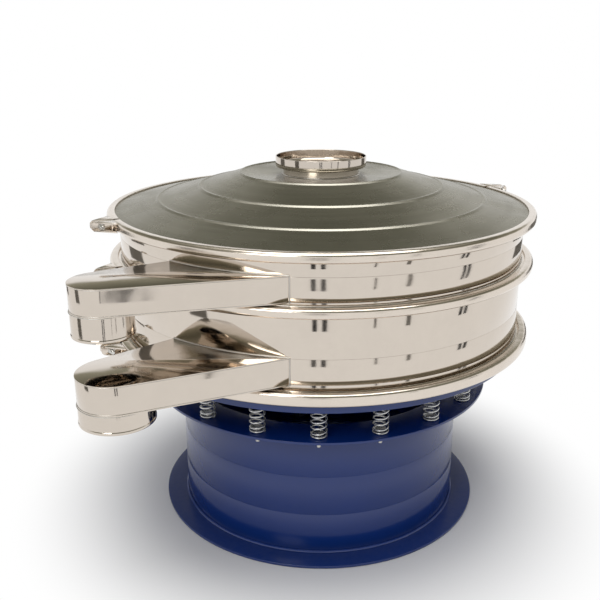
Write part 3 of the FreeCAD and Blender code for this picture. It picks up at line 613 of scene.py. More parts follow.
# ------------------------------------------------------------------ sizes and colours a user sets
class SieveColours(bpy.types.PropertyGroup):
    """Colours of the finishes."""
    paint: bpy.props.FloatVectorProperty(
        name="Base Paint", description="Gloss paint of the base and the spring table",
        subtype="COLOR", size=3, min=0, max=1, default=(0.004, 0.030, 0.185))
    # The warm beige of the default tint is partly the stainless steel's own colour and partly a painted
    # reflection of warm surroundings.
    steel: bpy.props.FloatVectorProperty(
        name="Polished Steel", description="Tint of the polished stainless sheet",
        subtype="COLOR", size=3, min=0, max=1, default=(0.64, 0.575, 0.505))


class SieveSheet(bpy.types.PropertyGroup):
    """Sizes of the sheet metal."""
    wall: bpy.props.FloatProperty(
        name="Sheet Thickness", description="Thickness of the frames' and ducts' sheet",
        unit="LENGTH", precision=4, default=0.003)
    weld: bpy.props.FloatProperty(
        name="Weld Bead", description="Radius of the weld beads", unit="LENGTH", precision=4,
        default=0.0019)
    lip: bpy.props.FloatProperty(
        name="Spout Lip", description="Radius of the rolled lip at a spout's end", unit="LENGTH",
        precision=4, default=0.0032)


class SieveLid(bpy.types.PropertyGroup):
    """Sizes of the lid and its neck."""
    outer_fold: bpy.props.FloatProperty(
        name="Outer Fold Radius", description="Radius of the lowest fold", unit="LENGTH",
        precision=4, default=0.486)
    middle_fold: bpy.props.FloatProperty(
        name="Middle Fold Radius", description="Radius of the middle fold", unit="LENGTH",
        precision=4, default=0.363)
    inner_fold: bpy.props.FloatProperty(
        name="Inner Fold Radius", description="Radius of the highest fold", unit="LENGTH",
        precision=4, default=0.240)
    fold_rise: bpy.props.FloatProperty(
        name="Fold Rise", description="Height of the crease that stands up at each fold",
        unit="LENGTH", precision=4, default=0.0032)
    fold_width: bpy.props.FloatProperty(
        name="Fold Width", description="Half width of each crease", unit="LENGTH", precision=4,
        default=0.007)


class SieveClamps(bpy.types.PropertyGroup):
    """Sizes of the clamp rings."""
    band_r: bpy.props.FloatProperty(
        name="Band Radius", description="Outside radius of a clamp ring", unit="LENGTH",
        precision=4, default=0.634)
    lip_r: bpy.props.FloatProperty(
        name="Lip Radius", description="Inside radius of a clamp ring's lips", unit="LENGTH",
        precision=4, default=0.611)
    crown: bpy.props.FloatProperty(
        name="Crown", description="Radius that rounds a clamp ring's outer corners", unit="LENGTH",
        precision=4, default=0.0105)
    gap: bpy.props.FloatProperty(
        name="Closure Gap", description="Gap between the two halves' lugs", unit="LENGTH",
        precision=4, default=0.014)
    azimuth: bpy.props.FloatProperty(
        name="Front Half Azimuth", description="Direction of the front halves' middle, in degrees",
        default=-64.0)


class SieveSprings(bpy.types.PropertyGroup):
    """Sizes of the springs."""
    count: bpy.props.IntProperty(
        name="Springs", description="Number of springs round the base", default=18, min=3)
    ring_r: bpy.props.FloatProperty(
        name="Spring Circle Radius", description="Radius of the circle the springs stand on",
        unit="LENGTH", precision=4, default=0.485)
    coil_r: bpy.props.FloatProperty(
        name="Coil Radius", description="Radius to the middle of the wire", unit="LENGTH",
        precision=4, default=0.0198)
    wire_r: bpy.props.FloatProperty(
        name="Wire Radius", description="Radius of the spring wire", unit="LENGTH", precision=4,
        default=0.0029)
    turns: bpy.props.FloatProperty(
        name="Turns", description="Turns of each spring, closed ends included", default=9.0)


# ------------------------------------------------------------------ base
def build_base():
    """Foot flange, drum with its rear hatch, spring shelf and their weld beads."""
    foot_r, foot_top = high("foot_flange")[0], high("foot_flange")[2]
    foot_in = 0.412
    drum_r = 0.437
    drum_in = drum_r - 0.005
    shelf_r, shelf_top = high("spring_shelf")[0], high("spring_shelf")[2]
    shelf_low = low("spring_shelf")[2]
    paint = finish("blue_paint")
    foot = [(foot_in, 0), (foot_r, 0), (foot_r, foot_top), (foot_in, foot_top)]
    make_piece("foot_plate", [turned(rounded(foot, 0.0016), 360)], paint, "base",
               ["foot_flange"])
    hatch_low, hatch_high = low("hatch_cover")[2] + 0.022, high("hatch_cover")[2] - 0.022
    half = math.degrees(0.095 / drum_r)
    drum = wall(drum_r, drum_in, foot_top, shelf_low, (hatch_low, hatch_high, 90 - half, 90 + half))
    make_piece("drum_wall", drum, paint, "base", ["base_drum"])
    shelf = [(foot_in, shelf_low), (shelf_r, shelf_low), (shelf_r, shelf_top), (foot_in, shelf_top)]
    make_piece("spring_ring_plate", [turned(rounded(shelf, 0.0014), 360)], paint, "base",
               ["spring_shelf"])
    circle = np.linspace(0, TAU, 1440, endpoint=False)
    beads = []
    for radius, height, size in ((drum_r + 0.0018, foot_top + 0.0016, 0.0042),
                                 (drum_r + 0.0015, shelf_low - 0.0015, 0.0034)):
        path = np.stack([radius * np.cos(circle), radius * np.sin(circle), height + 0 * circle], -1)
        beads.append(bead(path, size, 0.006, True, uneven=0.10))
    # The drum's weld beads take the lighter blue, a painted highlight.
    make_piece("drum_welds", beads, finish("blue_bead_painted_highlight"), "base")


def build_hatch():
    """Curved cover over the drum's rear opening, with a screw at each corner and side."""
    inner_r = 0.437
    outer_r = high("hatch_cover")[1]
    z0, z1 = low("hatch_cover")[2], high("hatch_cover")[2]
    half = math.degrees(high("hatch_cover")[0] / outer_r)
    section = rounded([(inner_r, z0), (outer_r, z0), (outer_r, z1), (inner_r, z1)], 0.001, 4)
    make_piece("hatch_plate", [turned(section, 48, 90 - half, 90 + half)], finish("blue_paint"),
               "base", ["hatch_cover"])
    screws = []
    reach = half - math.degrees(0.011 / outer_r)
    for turn in (-reach, 0.0, reach):
        for height in (z0 + 0.011, z1 - 0.011):
            washer = rod(0.0068, 0, 0.0011, sides=28)
            head = hexagon_head(0.0062, 0.0010, 0.0050, sides=36)
            for part in (washer, head):
                part = stood(part, (2, 0, 1))
                screws.append(spun(moved(part, (outer_r, 0, height)), 90 + turn))
    make_piece("hatch_screws", screws, finish("bolt_zinc"), "base")


def build_spring_bolts():
    """Cup-headed bolts that centre the springs, their washers, nuts and threaded ends."""
    sizes = bpy.context.scene.sieve_springs
    shelf_top, shelf_low = high("spring_shelf")[2], low("spring_shelf")[2]
    stud_end = low("lower_spring_locators")[2]
    centre = (0, -sizes.ring_r, 0)
    cup = rounded([(0.0001, shelf_top), (0.013, shelf_top), (0.012, shelf_top + 0.012),
                   (0.0001, shelf_top + 0.012)], [0, 0.0006, 0.003, 0], 5)
    nut_low = shelf_low - 0.0016 - 0.010
    parts = [
        turned(cup, 36),
        rod(0.0125, shelf_low - 0.0016, shelf_low, sides=32),
        hexagon_head(0.0105, nut_low, shelf_low - 0.0016),
        rod(0.0060, stud_end, nut_low, 0.0016, 0.0007),
    ]
    parts = ring_of([moved(p, centre) for p in parts], sizes.count)
    make_piece("spring_bolts", parts, finish("bolt_zinc"), "base", ["lower_spring_locators"])
    table_low = high("upper_spring_locators")[2]
    spigot = rounded([(0.0001, table_low - 0.012), (0.012, table_low - 0.012),
                      (0.013, table_low), (0.0001, table_low)], [0, 0.003, 0.0006, 0], 5)
    parts = ring_of([moved(turned(spigot, 36), centre)], sizes.count)
    make_piece("spring_spigots", parts, finish("bolt_zinc"), "sieve", ["upper_spring_locators"])


def spring_coil(sizes, bottom, top):
    """Compression spring with closed ends.

    The wire's centre turns evenly; its height rises by one wire thickness per turn over the
    first and last turn and a half and evenly between them, from a smooth blend of the two
    slopes. The section is a circle across the wire's own direction.
    """
    steps = int(sizes.turns * 26)
    turn = np.linspace(0, sizes.turns, steps)
    slope = 2 * sizes.wire_r / (top - bottom)
    ramp = np.clip((turn - 0.75) / 1.0, 0, 1) * np.clip((sizes.turns - 0.75 - turn) / 1.0, 0, 1)
    ramp = ramp * ramp * (3 - 2 * ramp)
    closed = np.cumsum(np.full(steps, slope * sizes.turns / steps) * 0.55)
    open_rise = np.cumsum(ramp)
    open_rise = open_rise / open_rise[-1] * (1 - closed[-1])
    height = bottom + sizes.wire_r + (closed + open_rise - closed[0]) \
        / (closed[-1] + open_rise[-1] - closed[0]) * (top - bottom - 2 * sizes.wire_r)
    angle = TAU * turn
    path = np.stack([sizes.coil_r * np.cos(angle), sizes.coil_r * np.sin(angle), height], -1)
    return swept(path, ring_section(sizes.wire_r, 10))


def build_springs():
    """All springs, which stretch between the shelf and the table."""
    sizes = bpy.context.scene.sieve_springs
    bottom, top = high("spring_shelf")[2] + 0.0001, low("table")[2] - 0.0001
    coil = moved(spring_coil(sizes, bottom, top), (0, -sizes.ring_r, 0))
    piece = make_piece("coil_springs", ring_of([coil], sizes.count), finish("spring_zinc"), None,
                       ["springs"], crease=60.0)
    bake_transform(piece)


# ------------------------------------------------------------------ drive
def build_table():
    """Blue pan under the frames, with its stiffening ribs."""
    wall_r = high("upper_frame")[0]
    flange_r = high("lid")[0]
    bottom, top = low("table")[2], high("table")[2]
    hole_r, plate = 0.130, 0.012
    section = [(hole_r, bottom), (wall_r, bottom), (wall_r, top - 0.009), (flange_r, top - 0.005),
               (flange_r, top), (wall_r - plate, top), (wall_r - plate, bottom + plate),
               (hole_r, bottom + plate)]
    radii = [0.001, 0.0035, 0.002, 0.001, 0.001, 0.001, 0.002, 0.001]
    parts = [turned(rounded(section, radii), 360)]
    rib = rounded([(0.190, bottom + plate), (0.586, bottom + plate), (0.586, bottom + plate + 0.024),
                   (0.200, bottom + plate + 0.012)], 0.002)
    rib = stood(slab(rib, -0.003, 0.003, 0.0008), (0, 2, 1))
    parts += [spun(rib, 30 + 60 * i) for i in range(6)]
    make_piece("spring_table", parts, finish("blue_paint"), "sieve", ["table"])


def build_drive():
    """Flanged upright motor with cooling fins, its bolts, shaft and two eccentric weights."""
    bottom, top = low("motor_housing")[2], high("motor_housing")[2]
    flange_low = top - 0.012
    bore = 0.02005
    body_r = 0.128
    core_r = 0.108
    section = [(bore, bottom), (0.060, bottom), (0.092, bottom + 0.016), (core_r, bottom + 0.040),
               (core_r, flange_low - 0.02), (body_r, flange_low), (0.185, flange_low), (0.185, top),
               (0.150, top), (0.146, top - 0.003), (0.070, top - 0.003), (0.066, top), (bore, top)]
    parts = [turned(rounded(section, 0.0015, 4), 120)]
    fin = rounded([(core_r - 0.003, bottom + 0.046), (body_r, bottom + 0.050),
                   (body_r, flange_low - 0.002), (core_r - 0.003, flange_low - 0.002)], 0.002)
    fin = stood(slab(fin, -0.0014, 0.0014, 0.0006), (0, 2, 1))
    parts += ring_of([fin], 32)
    box = rounded([(-0.045, -0.040), (0.045, -0.040), (0.045, 0.040), (-0.045, 0.040)], 0.008)
    box = stood(slab(box, core_r - 0.004, body_r, 0.003), (2, 0, 1))
    parts.append(spun(moved(box, (0, 0, (bottom + flange_low) / 2)), 90))
    make_piece("motor", parts, finish("motor_paint"), "sieve", ["motor_housing"])

    table_low = low("table")[2]
    bolt = [rod(0.0150, top, top + 0.002, sides=32), hexagon_head(0.0135, top + 0.002, top + 0.010),
            rod(0.0075, table_low - 0.013, top + 0.002, sides=20),
            rod(0.0150, table_low - 0.002, table_low, sides=32),
            hexagon_head(0.0135, table_low - 0.013, table_low - 0.002)]
    parts = ring_of([moved(p, (0.160, 0, 0)) for p in bolt], 4)
    make_piece("motor_fixings", parts, finish("bolt_zinc"), "sieve", ["motor_bolts"])

    shaft_low, shaft_top = low("motor_shaft")[2], high("motor_shaft")[2]
    outline = rounded([(0.0001, shaft_low), (0.020, shaft_low), (0.020, shaft_top),
                       (0.0001, shaft_top)], [0, 0.0015, 0.0015, 0], 4)
    make_piece("drive_shaft", [turned(outline, 64)], finish("ground_shaft"), "rotor",
               ["motor_shaft"])
    lead = 35.0
    for name, node, body, turn, bore_r in (("top_weight", "upper_weight", "rotor", 0.0, 0.020),
                                           ("bottom_weight", "lower_weight", "phase_weight", lead,
                                            0.02005)):
        z0, z1 = low(node)[2], high(node)[2]
        parts = [spun(p, turn) for p in eccentric(z0, z1, bore_r)]
        make_piece(name, parts, finish("cast_weight"), body, [node])


def eccentric(bottom, top, bore_r):
    """Fan-shaped weight and its hub: the fan's rim is an arc about the shaft, and its sides run
    straight to the hub."""
    reach, hub_r = 0.105, 0.036
    arc = np.radians(np.linspace(-35, 215, 60))[:, None]
    rim = np.concatenate([np.cos(arc), np.sin(arc)], -1) * reach
    hub = [(-hub_r * 1.1, -hub_r * 0.5), (-hub_r * 0.7, -hub_r), (hub_r * 0.7, -hub_r),
           (hub_r * 1.1, -hub_r * 0.5)]
    keep = rim[(rim[:, 1] > -0.035)]
    outline = np.concatenate([keep, np.array(hub)])
    angle = np.arctan2(outline[:, 1], outline[:, 0])
    inner = np.stack([np.cos(angle), np.sin(angle)], -1) * bore_r
    soft = 0.0015
    rows = [(inner, bottom), (outline * 0.985, bottom), (outline, bottom + soft),
            (outline, top - soft), (outline * 0.985, top), (inner, top)]
    rows = [np.concatenate([flat, np.full((len(flat), 1), z)], -1) for flat, z in rows]
    return [shell(np.stack(rows), True)]


# ------------------------------------------------------------------ frames, screen and ducts
class SieveDucts(bpy.types.PropertyGroup):
    """Places of the side ducts' outlets and walls."""
    upper_x: bpy.props.FloatProperty(
        name="Upper Outlet X", description="Sideways place of the upper outlet", unit="LENGTH",
        precision=4, default=-0.510)
    upper_y: bpy.props.FloatProperty(
        name="Upper Outlet Y", description="Forward place of the upper outlet", unit="LENGTH",
        precision=4, default=-0.640)
    lower_x: bpy.props.FloatProperty(
        name="Lower Outlet X", description="Sideways place of the lower outlet", unit="LENGTH",
        precision=4, default=-0.479)
    lower_y: bpy.props.FloatProperty(
        name="Lower Outlet Y", description="Forward place of the lower outlet", unit="LENGTH",
        precision=4, default=-0.687)
    front: bpy.props.FloatProperty(
        name="Front Azimuth", description="Where the ducts' front walls meet the frames, in degrees",
        default=-97.0)
    rear: bpy.props.FloatProperty(
        name="Rear Azimuth", description="Where the ducts' rear walls meet the frames, in degrees",
        default=-129.0)


def circle_path(radius, height, x=0.0, y=0.0, steps=720):
    """Points of a level circle."""
    angle = np.linspace(0, TAU, steps, endpoint=False)
    return np.stack([x + radius * np.cos(angle), y + radius * np.sin(angle), height + 0 * angle], -1)


def build_frames():
    """Rolled walls of both frames, open behind their ducts, with flange welds and a seam."""
    ducts = bpy.context.scene.sieve_ducts
    sheet = bpy.context.scene.sieve_sheet
    steel = finish("mirror_sheet")
    beads = []
    for name, duct in (("lower_frame", "lower_duct"), ("upper_frame", "upper_duct")):
        outer_r = high(name)[0]
        bottom, top = low(name)[2], high(name)[2]
        window = (low(duct)[2] + sheet.wall, high(duct)[2] - sheet.wall, ducts.rear + 1.5,
                  ducts.front - 1.5)
        make_piece(name + "_wall", wall(outer_r, outer_r - sheet.wall, bottom, top, window), steel,
                   "sieve", [name])
        for height in (high(name + "_low_flange")[2], low(name + "_high_flange")[2]):
            beads.append(bead(circle_path(outer_r + 0.0006, height), sheet.weld, 0.005, True))
        rise = np.linspace(high(name + "_low_flange")[2], low(name + "_high_flange")[2], 160)
        seam = np.stack([0 * rise, outer_r + 0.0003 + 0 * rise, rise], -1)
        beads.append(bead(seam, sheet.weld, 0.004, up=(0, 1, 0)))
    make_piece("frame_welds", beads, finish("weld_steel"), "sieve")


def duct_plan(x, y, radius, inset=0.0):
    """Outline of a duct seen from above, and how many of its points aren't on the frame.

    Two straight sides leave the frame's circle at the front and rear azimuths and touch the
    round end; each touch point lies at the angle acos(radius / distance) off the line to the
    starting point. The last points follow the frame's circle back to the front.
    """
    ducts = bpy.context.scene.sieve_ducts
    wall_r = high("upper_frame")[0]
    radius = radius - inset
    ends = []
    for azimuth, side in ((ducts.front, -1), (ducts.rear, 1)):
        shift = side * math.degrees(-inset / wall_r)
        angle = math.radians(azimuth - shift)
        start = np.array([math.cos(angle), math.sin(angle)]) * (wall_r - 0.0005)
        reach = np.array([x, y]) - start
        turn = math.atan2(-reach[1], -reach[0]) + side * math.acos(radius / np.linalg.norm(reach))
        ends.append((start, turn))
    (front, front_turn), (rear, rear_turn) = ends
    sweep = (front_turn - rear_turn) % TAU
    arc = front_turn - np.linspace(0, sweep, 96)
    round_end = np.stack([x + radius * np.cos(arc), y + radius * np.sin(arc)], -1)
    share = np.linspace(0, 1, 24)[:-1, None]
    front_run = front + (round_end[0] - front) * share
    rear_run = round_end[-1] + (rear - round_end[-1]) * np.linspace(0, 1, 24)[1:, None]
    back = np.radians(np.linspace(ducts.rear, ducts.front, 40)[1:-1])
    frame_run = np.stack([np.cos(back), np.sin(back)], -1) * (wall_r - 0.0005)
    return np.concatenate([front_run, round_end, rear_run, frame_run]), len(front_run) + 96 \
        + len(rear_run)


def build_duct(name, spout, x, y):
    """Duct of welded plates: top, holed floor, side strip and a rolled spout under its end."""
    sheet = bpy.context.scene.sieve_sheet
    bottom, top = low(name)[2], high(name)[2]
    end_r = (high(spout)[0] - low(spout)[0]) / 2
    spout_low = low(spout)[2]
    thick = sheet.wall
    plan, free = duct_plan(x, y, end_r)
    floor_bore = end_r - 0.004
    offset = plan - np.array([x, y])
    hole = np.array([x, y]) + offset / np.linalg.norm(offset, axis=1, keepdims=True) * floor_bore
    rows = [(plan, bottom), (plan, bottom + thick), (hole, bottom + thick), (hole, bottom)]
    rows = [np.concatenate([flat, np.full((len(flat), 1), z)], -1) for flat, z in rows]
    inset = 0.0009
    side, side_free = duct_plan(x, y, end_r, inset + thick / 2)
    side = side[:side_free]
    strip = rounded([(-thick / 2, bottom + thick), (thick / 2, bottom + thick),
                     (thick / 2, top - thick), (-thick / 2, top - thick)], 0.0004, 3)
    path = np.concatenate([side, np.zeros((len(side), 1))], -1)
    parts = [slab(plan, top - thick, top, 0.0009), shell(np.stack(rows), True), swept(path, strip)]
    make_piece(name + "_plates", parts, finish("mirror_duct"), "sieve", [name])

    lip = sheet.lip
    tube = [(end_r - 0.004, spout_low + lip), (end_r - 0.0022, spout_low), (end_r - 0.0006, spout_low),
            (end_r, spout_low + 0.0016), (end_r, spout_low + 2 * lip),
            (end_r - 0.0012, spout_low + 2.6 * lip), (end_r - 0.0012, bottom),
            (end_r - 0.004, bottom)]
    tube = moved(turned(rounded(tube, 0.0005, 4), 200), (x, y, 0))
    make_piece(spout + "_tube", [tube], finish("mirror_duct"), "sieve", [spout])

    beads = [bead(circle_path(end_r - 0.0004, bottom - 0.0008, x, y, 300), 0.0014, 0.004, True)]
    edge = duct_plan(x, y, end_r, 0.0011)[0][:free]
    for height in (bottom + thick + 0.0002, top - thick - 0.0002):
        run = np.concatenate([edge, np.full((len(edge), 1), height)], -1)
        beads.append(bead(run, 0.0009, 0.003, sides=6))
    wall_r = high("upper_frame")[0]
    ducts = bpy.context.scene.sieve_ducts
    turn = np.radians(np.linspace(ducts.rear, ducts.front, 120))
    for height in (bottom - 0.0006, top + 0.0004):
        run = np.stack([wall_r * np.cos(turn), wall_r * np.sin(turn), height + 0 * turn], -1)
        beads.append(bead(run, sheet.weld, 0.005))
    rise = np.linspace(bottom, top, 60)
    for azimuth in (ducts.rear - 0.1, ducts.front + 0.1):
        angle = math.radians(azimuth)
        run = np.stack([wall_r * math.cos(angle) + 0 * rise, wall_r * math.sin(angle) + 0 * rise,
                        rise], -1)
        beads.append(bead(run, sheet.weld, 0.004, up=(math.cos(angle), math.sin(angle), 0)))
    make_piece(name + "_welds", beads, finish("weld_steel"), "sieve")


def build_ducts():
    """Both side ducts."""
    ducts = bpy.context.scene.sieve_ducts
    build_duct("upper_duct", "upper_spout", ducts.upper_x, ducts.upper_y)
    build_duct("lower_duct", "lower_spout", ducts.lower_x, ducts.lower_y)


def dress_kept_solids():
    """Finishes for the solids that stay as they are."""
    for node, name in (("lower_frame_low_flange", "clamp_steel"),
                       ("lower_frame_high_flange", "clamp_steel"),
                       ("upper_frame_low_flange", "clamp_steel"),
                       ("upper_frame_high_flange", "clamp_steel"),
                       ("fines_floor", "spun_lid"), ("screen_ring", "clamp_steel"),
                       ("screen_mesh", "woven_wire"), ("bottom_seal", "seal_silicone"),
                       ("lid_seal", "seal_silicone")):
        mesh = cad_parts[node].data
        mesh.materials.clear()
        mesh.materials.append(finish(name))


# ------------------------------------------------------------------ lid and neck
def build_lid():
    """Spun lid: rim, conical bands and a raised crease at each fold."""
    sizes = bpy.context.scene.sieve_lid
    flange_r = high("lid")[0]
    rim_z = low("lid")[2]
    wall_r = high("upper_frame")[0]
    bore, neck_r, foot = 0.110, 0.113, low("inlet_neck")[2]
    half, rise = sizes.fold_width, sizes.fold_rise
    folds = [(sizes.outer_fold, 0.966), (sizes.middle_fold, 0.999), (sizes.inner_fold, 1.036)]
    line = [(wall_r, rim_z + 0.009)] + folds + [(neck_r, foot)]
    top = []
    for before, here, after in zip(line, line[1:], line[2:]):
        fall = (here[1] - before[1]) / (before[0] - here[0])
        climb = (after[1] - here[1]) / (here[0] - after[0])
        top += [(here[0] + half, here[1] - fall * half), (here[0], here[1] + rise),
                (here[0] - half, here[1] + climb * half)]
    under = [(bore, foot), (bore, foot - 0.003)]
    under += [(r, z - 0.003) for r, z in folds[::-1]] + [(wall_r - 0.003, rim_z)]
    outline = [(flange_r, rim_z), (flange_r, rim_z + 0.005), (wall_r, rim_z + 0.009)] + top
    outline += [(neck_r, foot)] + under
    radii = [0.0006, 0.001, 0.006] + [0.008, 0.004, 0.008] * 3 + [0.0] + [0.0] * len(under)
    make_piece("spun_lid", [turned(rounded(outline, radii, 5), 480)], finish("spun_lid"), "sieve",
               ["lid"], crease=50.0)


def build_neck():
    """Neck tube, its step and the wider rolled collar that takes the feed sleeve."""
    foot, top = low("inlet_neck")[2], high("inlet_neck")[2]
    collar_r = high("inlet_neck")[0]
    step = foot + 0.021
    neck_r, sheet = 0.113, 0.003
    outline = [(neck_r - sheet, foot), (neck_r, foot), (neck_r, step), (collar_r, step),
               (collar_r, top), (collar_r - sheet, top), (collar_r - sheet, step + sheet),
               (neck_r - sheet, step + sheet)]
    radii = [0, 0, 0.001, 0.0085, 0.00145, 0.00145, 0.006, 0.001]
    make_piece("inlet_collar", [turned(rounded(outline, radii, 8), 320)], finish("mirror_neck"),
               "sieve", ["inlet_neck"], crease=50.0)
    beads = [bead(circle_path(neck_r + 0.001, foot + 0.0008, steps=360), 0.0019, 0.005, True)]
    make_piece("neck_weld", beads, finish("weld_steel"), "sieve")


# ------------------------------------------------------------------ clamp rings
def mirrored(part):
    """The same shell seen in the plane through the axis."""
    return part[0] * np.array([-1, 1, 1]), part[1], part[2]


def build_clamp(ring, bottom, top):
    """Both halves of one clamp ring with lugs, gussets, bolts, washers and nuts."""
    sizes = bpy.context.scene.sieve_clamps
    middle = (bottom + top) / 2
    height = top - bottom
    band_r, lip_r = sizes.band_r, sizes.lip_r
    groove_r = band_r - 0.004
    lip_half, web_half = 0.00907, 0.0059
    outline = [(band_r, middle - height / 2), (band_r, middle + height / 2),
               (lip_r, middle + height / 2), (lip_r, middle + lip_half),
               (groove_r, middle + web_half), (groove_r, middle - web_half),
               (lip_r, middle - lip_half), (lip_r, middle - height / 2)]
    crown = min(sizes.crown, height * 0.42)
    radii = [crown, crown, 0.0008, 0.0006, 0.0005, 0.0005, 0.0006, 0.0008]
    gap = math.degrees(sizes.gap / band_r) / 2
    half_ring = turned(rounded(outline, radii, 9), 260, gap, 180 - gap)
    half_h, tip, corner = 0.0135, band_r + 0.056, 0.00675
    face = sizes.gap / 2
    lug = [(groove_r, middle - half_h), (tip - corner, middle - half_h), (tip, middle - half_h + corner),
           (tip, middle + half_h - corner), (tip - corner, middle + half_h), (groove_r, middle + half_h)]
    lug = stood(slab(rounded(lug, [0.0005, 0.003, 0.003, 0.003, 0.003, 0.0005], 4), face, face + 0.006,
                     0.0008), (0, 2, 1))
    lugs = [lug]
    for z in (middle + half_h - 0.004, middle - half_h):
        web = [(groove_r, face + 0.006), (tip - corner, face + 0.006), (groove_r, face + 0.050)]
        lugs.append(slab(rounded(web, 0.0015, 4), z, z + 0.004, 0.0006))
    run = np.linspace(middle - half_h + 0.002, middle + half_h - 0.002, 24)
    weld = np.stack([band_r + 0.0006 + 0 * run, face + 0.0068 + 0 * run, run], -1)
    lugs.append(bead(weld, 0.0022, 0.004, up=(1, 0, 0)))
    lugs += [mirrored(p) for p in lugs]
    bolt_x, bolt_r, nut_r = band_r + 0.030, 0.005, 0.0088
    seat = face + 0.006
    bolt = [rod(0.0098, seat, seat + 0.0016, sides=40), hexagon_head(nut_r, seat + 0.0016, seat + 0.009),
            rod(bolt_r, -seat - 0.026, seat + 0.001, 0.0015, 0.0005)]
    nut = [rod(0.0098, seat, seat + 0.0016, sides=40), hexagon_head(nut_r, seat + 0.0016, seat + 0.009)]
    for side, turn in (("front", sizes.azimuth - 90), ("rear", sizes.azimuth + 90)):
        body = f"{ring}_clamp_{side}"
        make_piece(f"{ring}_{side}_band", [spun(p, turn) for p in [half_ring] + lugs],
                   finish("clamp_steel"), body, [body], crease=40.0)
        fixings, node = (nut, "nuts") if side == "front" else (bolt, "bolts")
        fixings = [moved(stood(p, (0, 2, 1)), (bolt_x, 0, middle)) for p in fixings]
        fixings += [mirrored(p) for p in fixings]
        make_piece(f"{ring}_{side}_fixings", [spun(p, turn) for p in fixings], finish("bolt_zinc"),
                   body, [f"{ring}_closure_{node}"])


def build_clamps():
    """The three clamp rings."""
    for ring in ("top", "middle", "bottom"):
        node = f"{ring}_clamp_rear"
        build_clamp(ring, low(node)[2], high(node)[2])


# ------------------------------------------------------------------ studio
class SieveStudio(bpy.types.PropertyGroup):
    """Levels of the studio."""
    overhead: bpy.props.FloatProperty(
        name="Overhead Power", description="Power of the overhead softbox", unit="POWER", default=46.0)
    key: bpy.props.FloatProperty(
        name="Key Power", description="Power of the key softbox", unit="POWER", default=26.0)
    fill: bpy.props.FloatProperty(
        name="Fill Level", description="Strength of the even light on matt surfaces", default=0.5)


def white_seen(nodes, links, tree):
    """One where a camera, glossy or transmission ray asks, nought elsewhere."""
    path = nodes.new("ShaderNodeLightPath")
    seen = maths(tree, "MAXIMUM", path.outputs["Is Camera Ray"], path.outputs["Is Glossy Ray"])
    return maths(tree, "MAXIMUM", seen, path.outputs["Is Transmission Ray"])


def build_world(level):
    """Pale surroundings: white at the horizon, olive grey above it, paler overhead."""
    world = bpy.data.worlds.new("studio")
    bpy.context.scene.world = world
    world.use_nodes = True
    nodes, links = world.node_tree.nodes, world.node_tree.links
    parts = nodes.new("ShaderNodeSeparateXYZ")
    links.new(nodes.new("ShaderNodeTexCoord").outputs["Generated"], parts.inputs[0])
    ramp = nodes.new("ShaderNodeValToRGB")
    links.new(parts.outputs[2], ramp.inputs["Fac"])
    stops = ((0.0, (1, 1, 1)), (0.29, (1, 1, 1)), (0.36, (0.34, 0.33, 0.26)),
             (0.62, (0.13, 0.13, 0.10)), (0.84, (0.42, 0.41, 0.35)), (1.0, (0.9, 0.9, 0.87)))
    while len(ramp.color_ramp.elements) < len(stops):
        ramp.color_ramp.elements.new(0.5)
    for element, (place, colour) in zip(ramp.color_ramp.elements, stops):
        element.position = place
        element.color = (*colour, 1)
    shown = nodes["Background"]
    links.new(ramp.outputs["Color"], shown.inputs["Color"])
    even = nodes.new("ShaderNodeBackground")
    even.inputs["Strength"].default_value = level
    mix = nodes.new("ShaderNodeMixShader")
    links.new(white_seen(nodes, links, world.node_tree), mix.inputs["Fac"])
    links.new(even.outputs[0], mix.inputs[1])
    links.new(shown.outputs[0], mix.inputs[2])
    links.new(mix.outputs[0], nodes["World Output"].inputs["Surface"])


def floor_finish():
    """Pale floor that keeps the shadow near the sieve and turns to the backdrop's white."""
    material, nodes, links, shader = new_finish("studio_floor")
    tree = material.node_tree
    shader.inputs["Base Color"].default_value = (0.82, 0.82, 0.82, 1)
    shader.inputs["Roughness"].default_value = 0.9
    place, radius, azimuth, z = round_axis(tree)
    fade = nodes.new("ShaderNodeMapRange")
    fade.interpolation_type = "SMOOTHSTEP"
    links.new(radius, fade.inputs["Value"])
    fade.inputs["From Min"].default_value = 0.5
    fade.inputs["From Max"].default_value = 1.0
    glow = nodes.new("ShaderNodeEmission")
    glow.inputs["Color"].default_value = (1, 1, 1, 1)
    mix = nodes.new("ShaderNodeMixShader")
    links.new(maths(tree, "MULTIPLY", fade.outputs["Result"], white_seen(nodes, links, tree)),
              mix.inputs["Fac"])
    links.new(shader.outputs[0], mix.inputs[1])
    links.new(glow.outputs[0], mix.inputs[2])
    links.new(mix.outputs[0], nodes["Material Output"].inputs["Surface"])
    return material


def stage_sheet(name, corners, material, hidden=False):
    """One flat four-cornered sheet of the stage."""
    mesh = bpy.data.meshes.new(name)
    mesh.from_pydata(corners, [], [(0, 1, 2, 3)])
    mesh.materials.append(material)
    sheet = bpy.data.objects.new(name, mesh)
    bpy.context.scene.collection.objects.link(sheet)
    sheet.visible_camera = not hidden
    sheet.visible_shadow = not hidden
    sheet.visible_diffuse = not hidden
    return sheet


def softbox(name, place, aim, size, power):
    """Square area lamp at a place, turned to a point."""
    lamp = bpy.data.lights.new(name, "AREA")
    lamp.shape = "SQUARE"
    lamp.size = size
    lamp.energy = power
    holder = bpy.data.objects.new(name, lamp)
    bpy.context.scene.collection.objects.link(holder)
    holder.location = place
    holder.rotation_euler = (Vector(aim) - Vector(place)).to_track_quat("-Z", "Y").to_euler()
    return holder


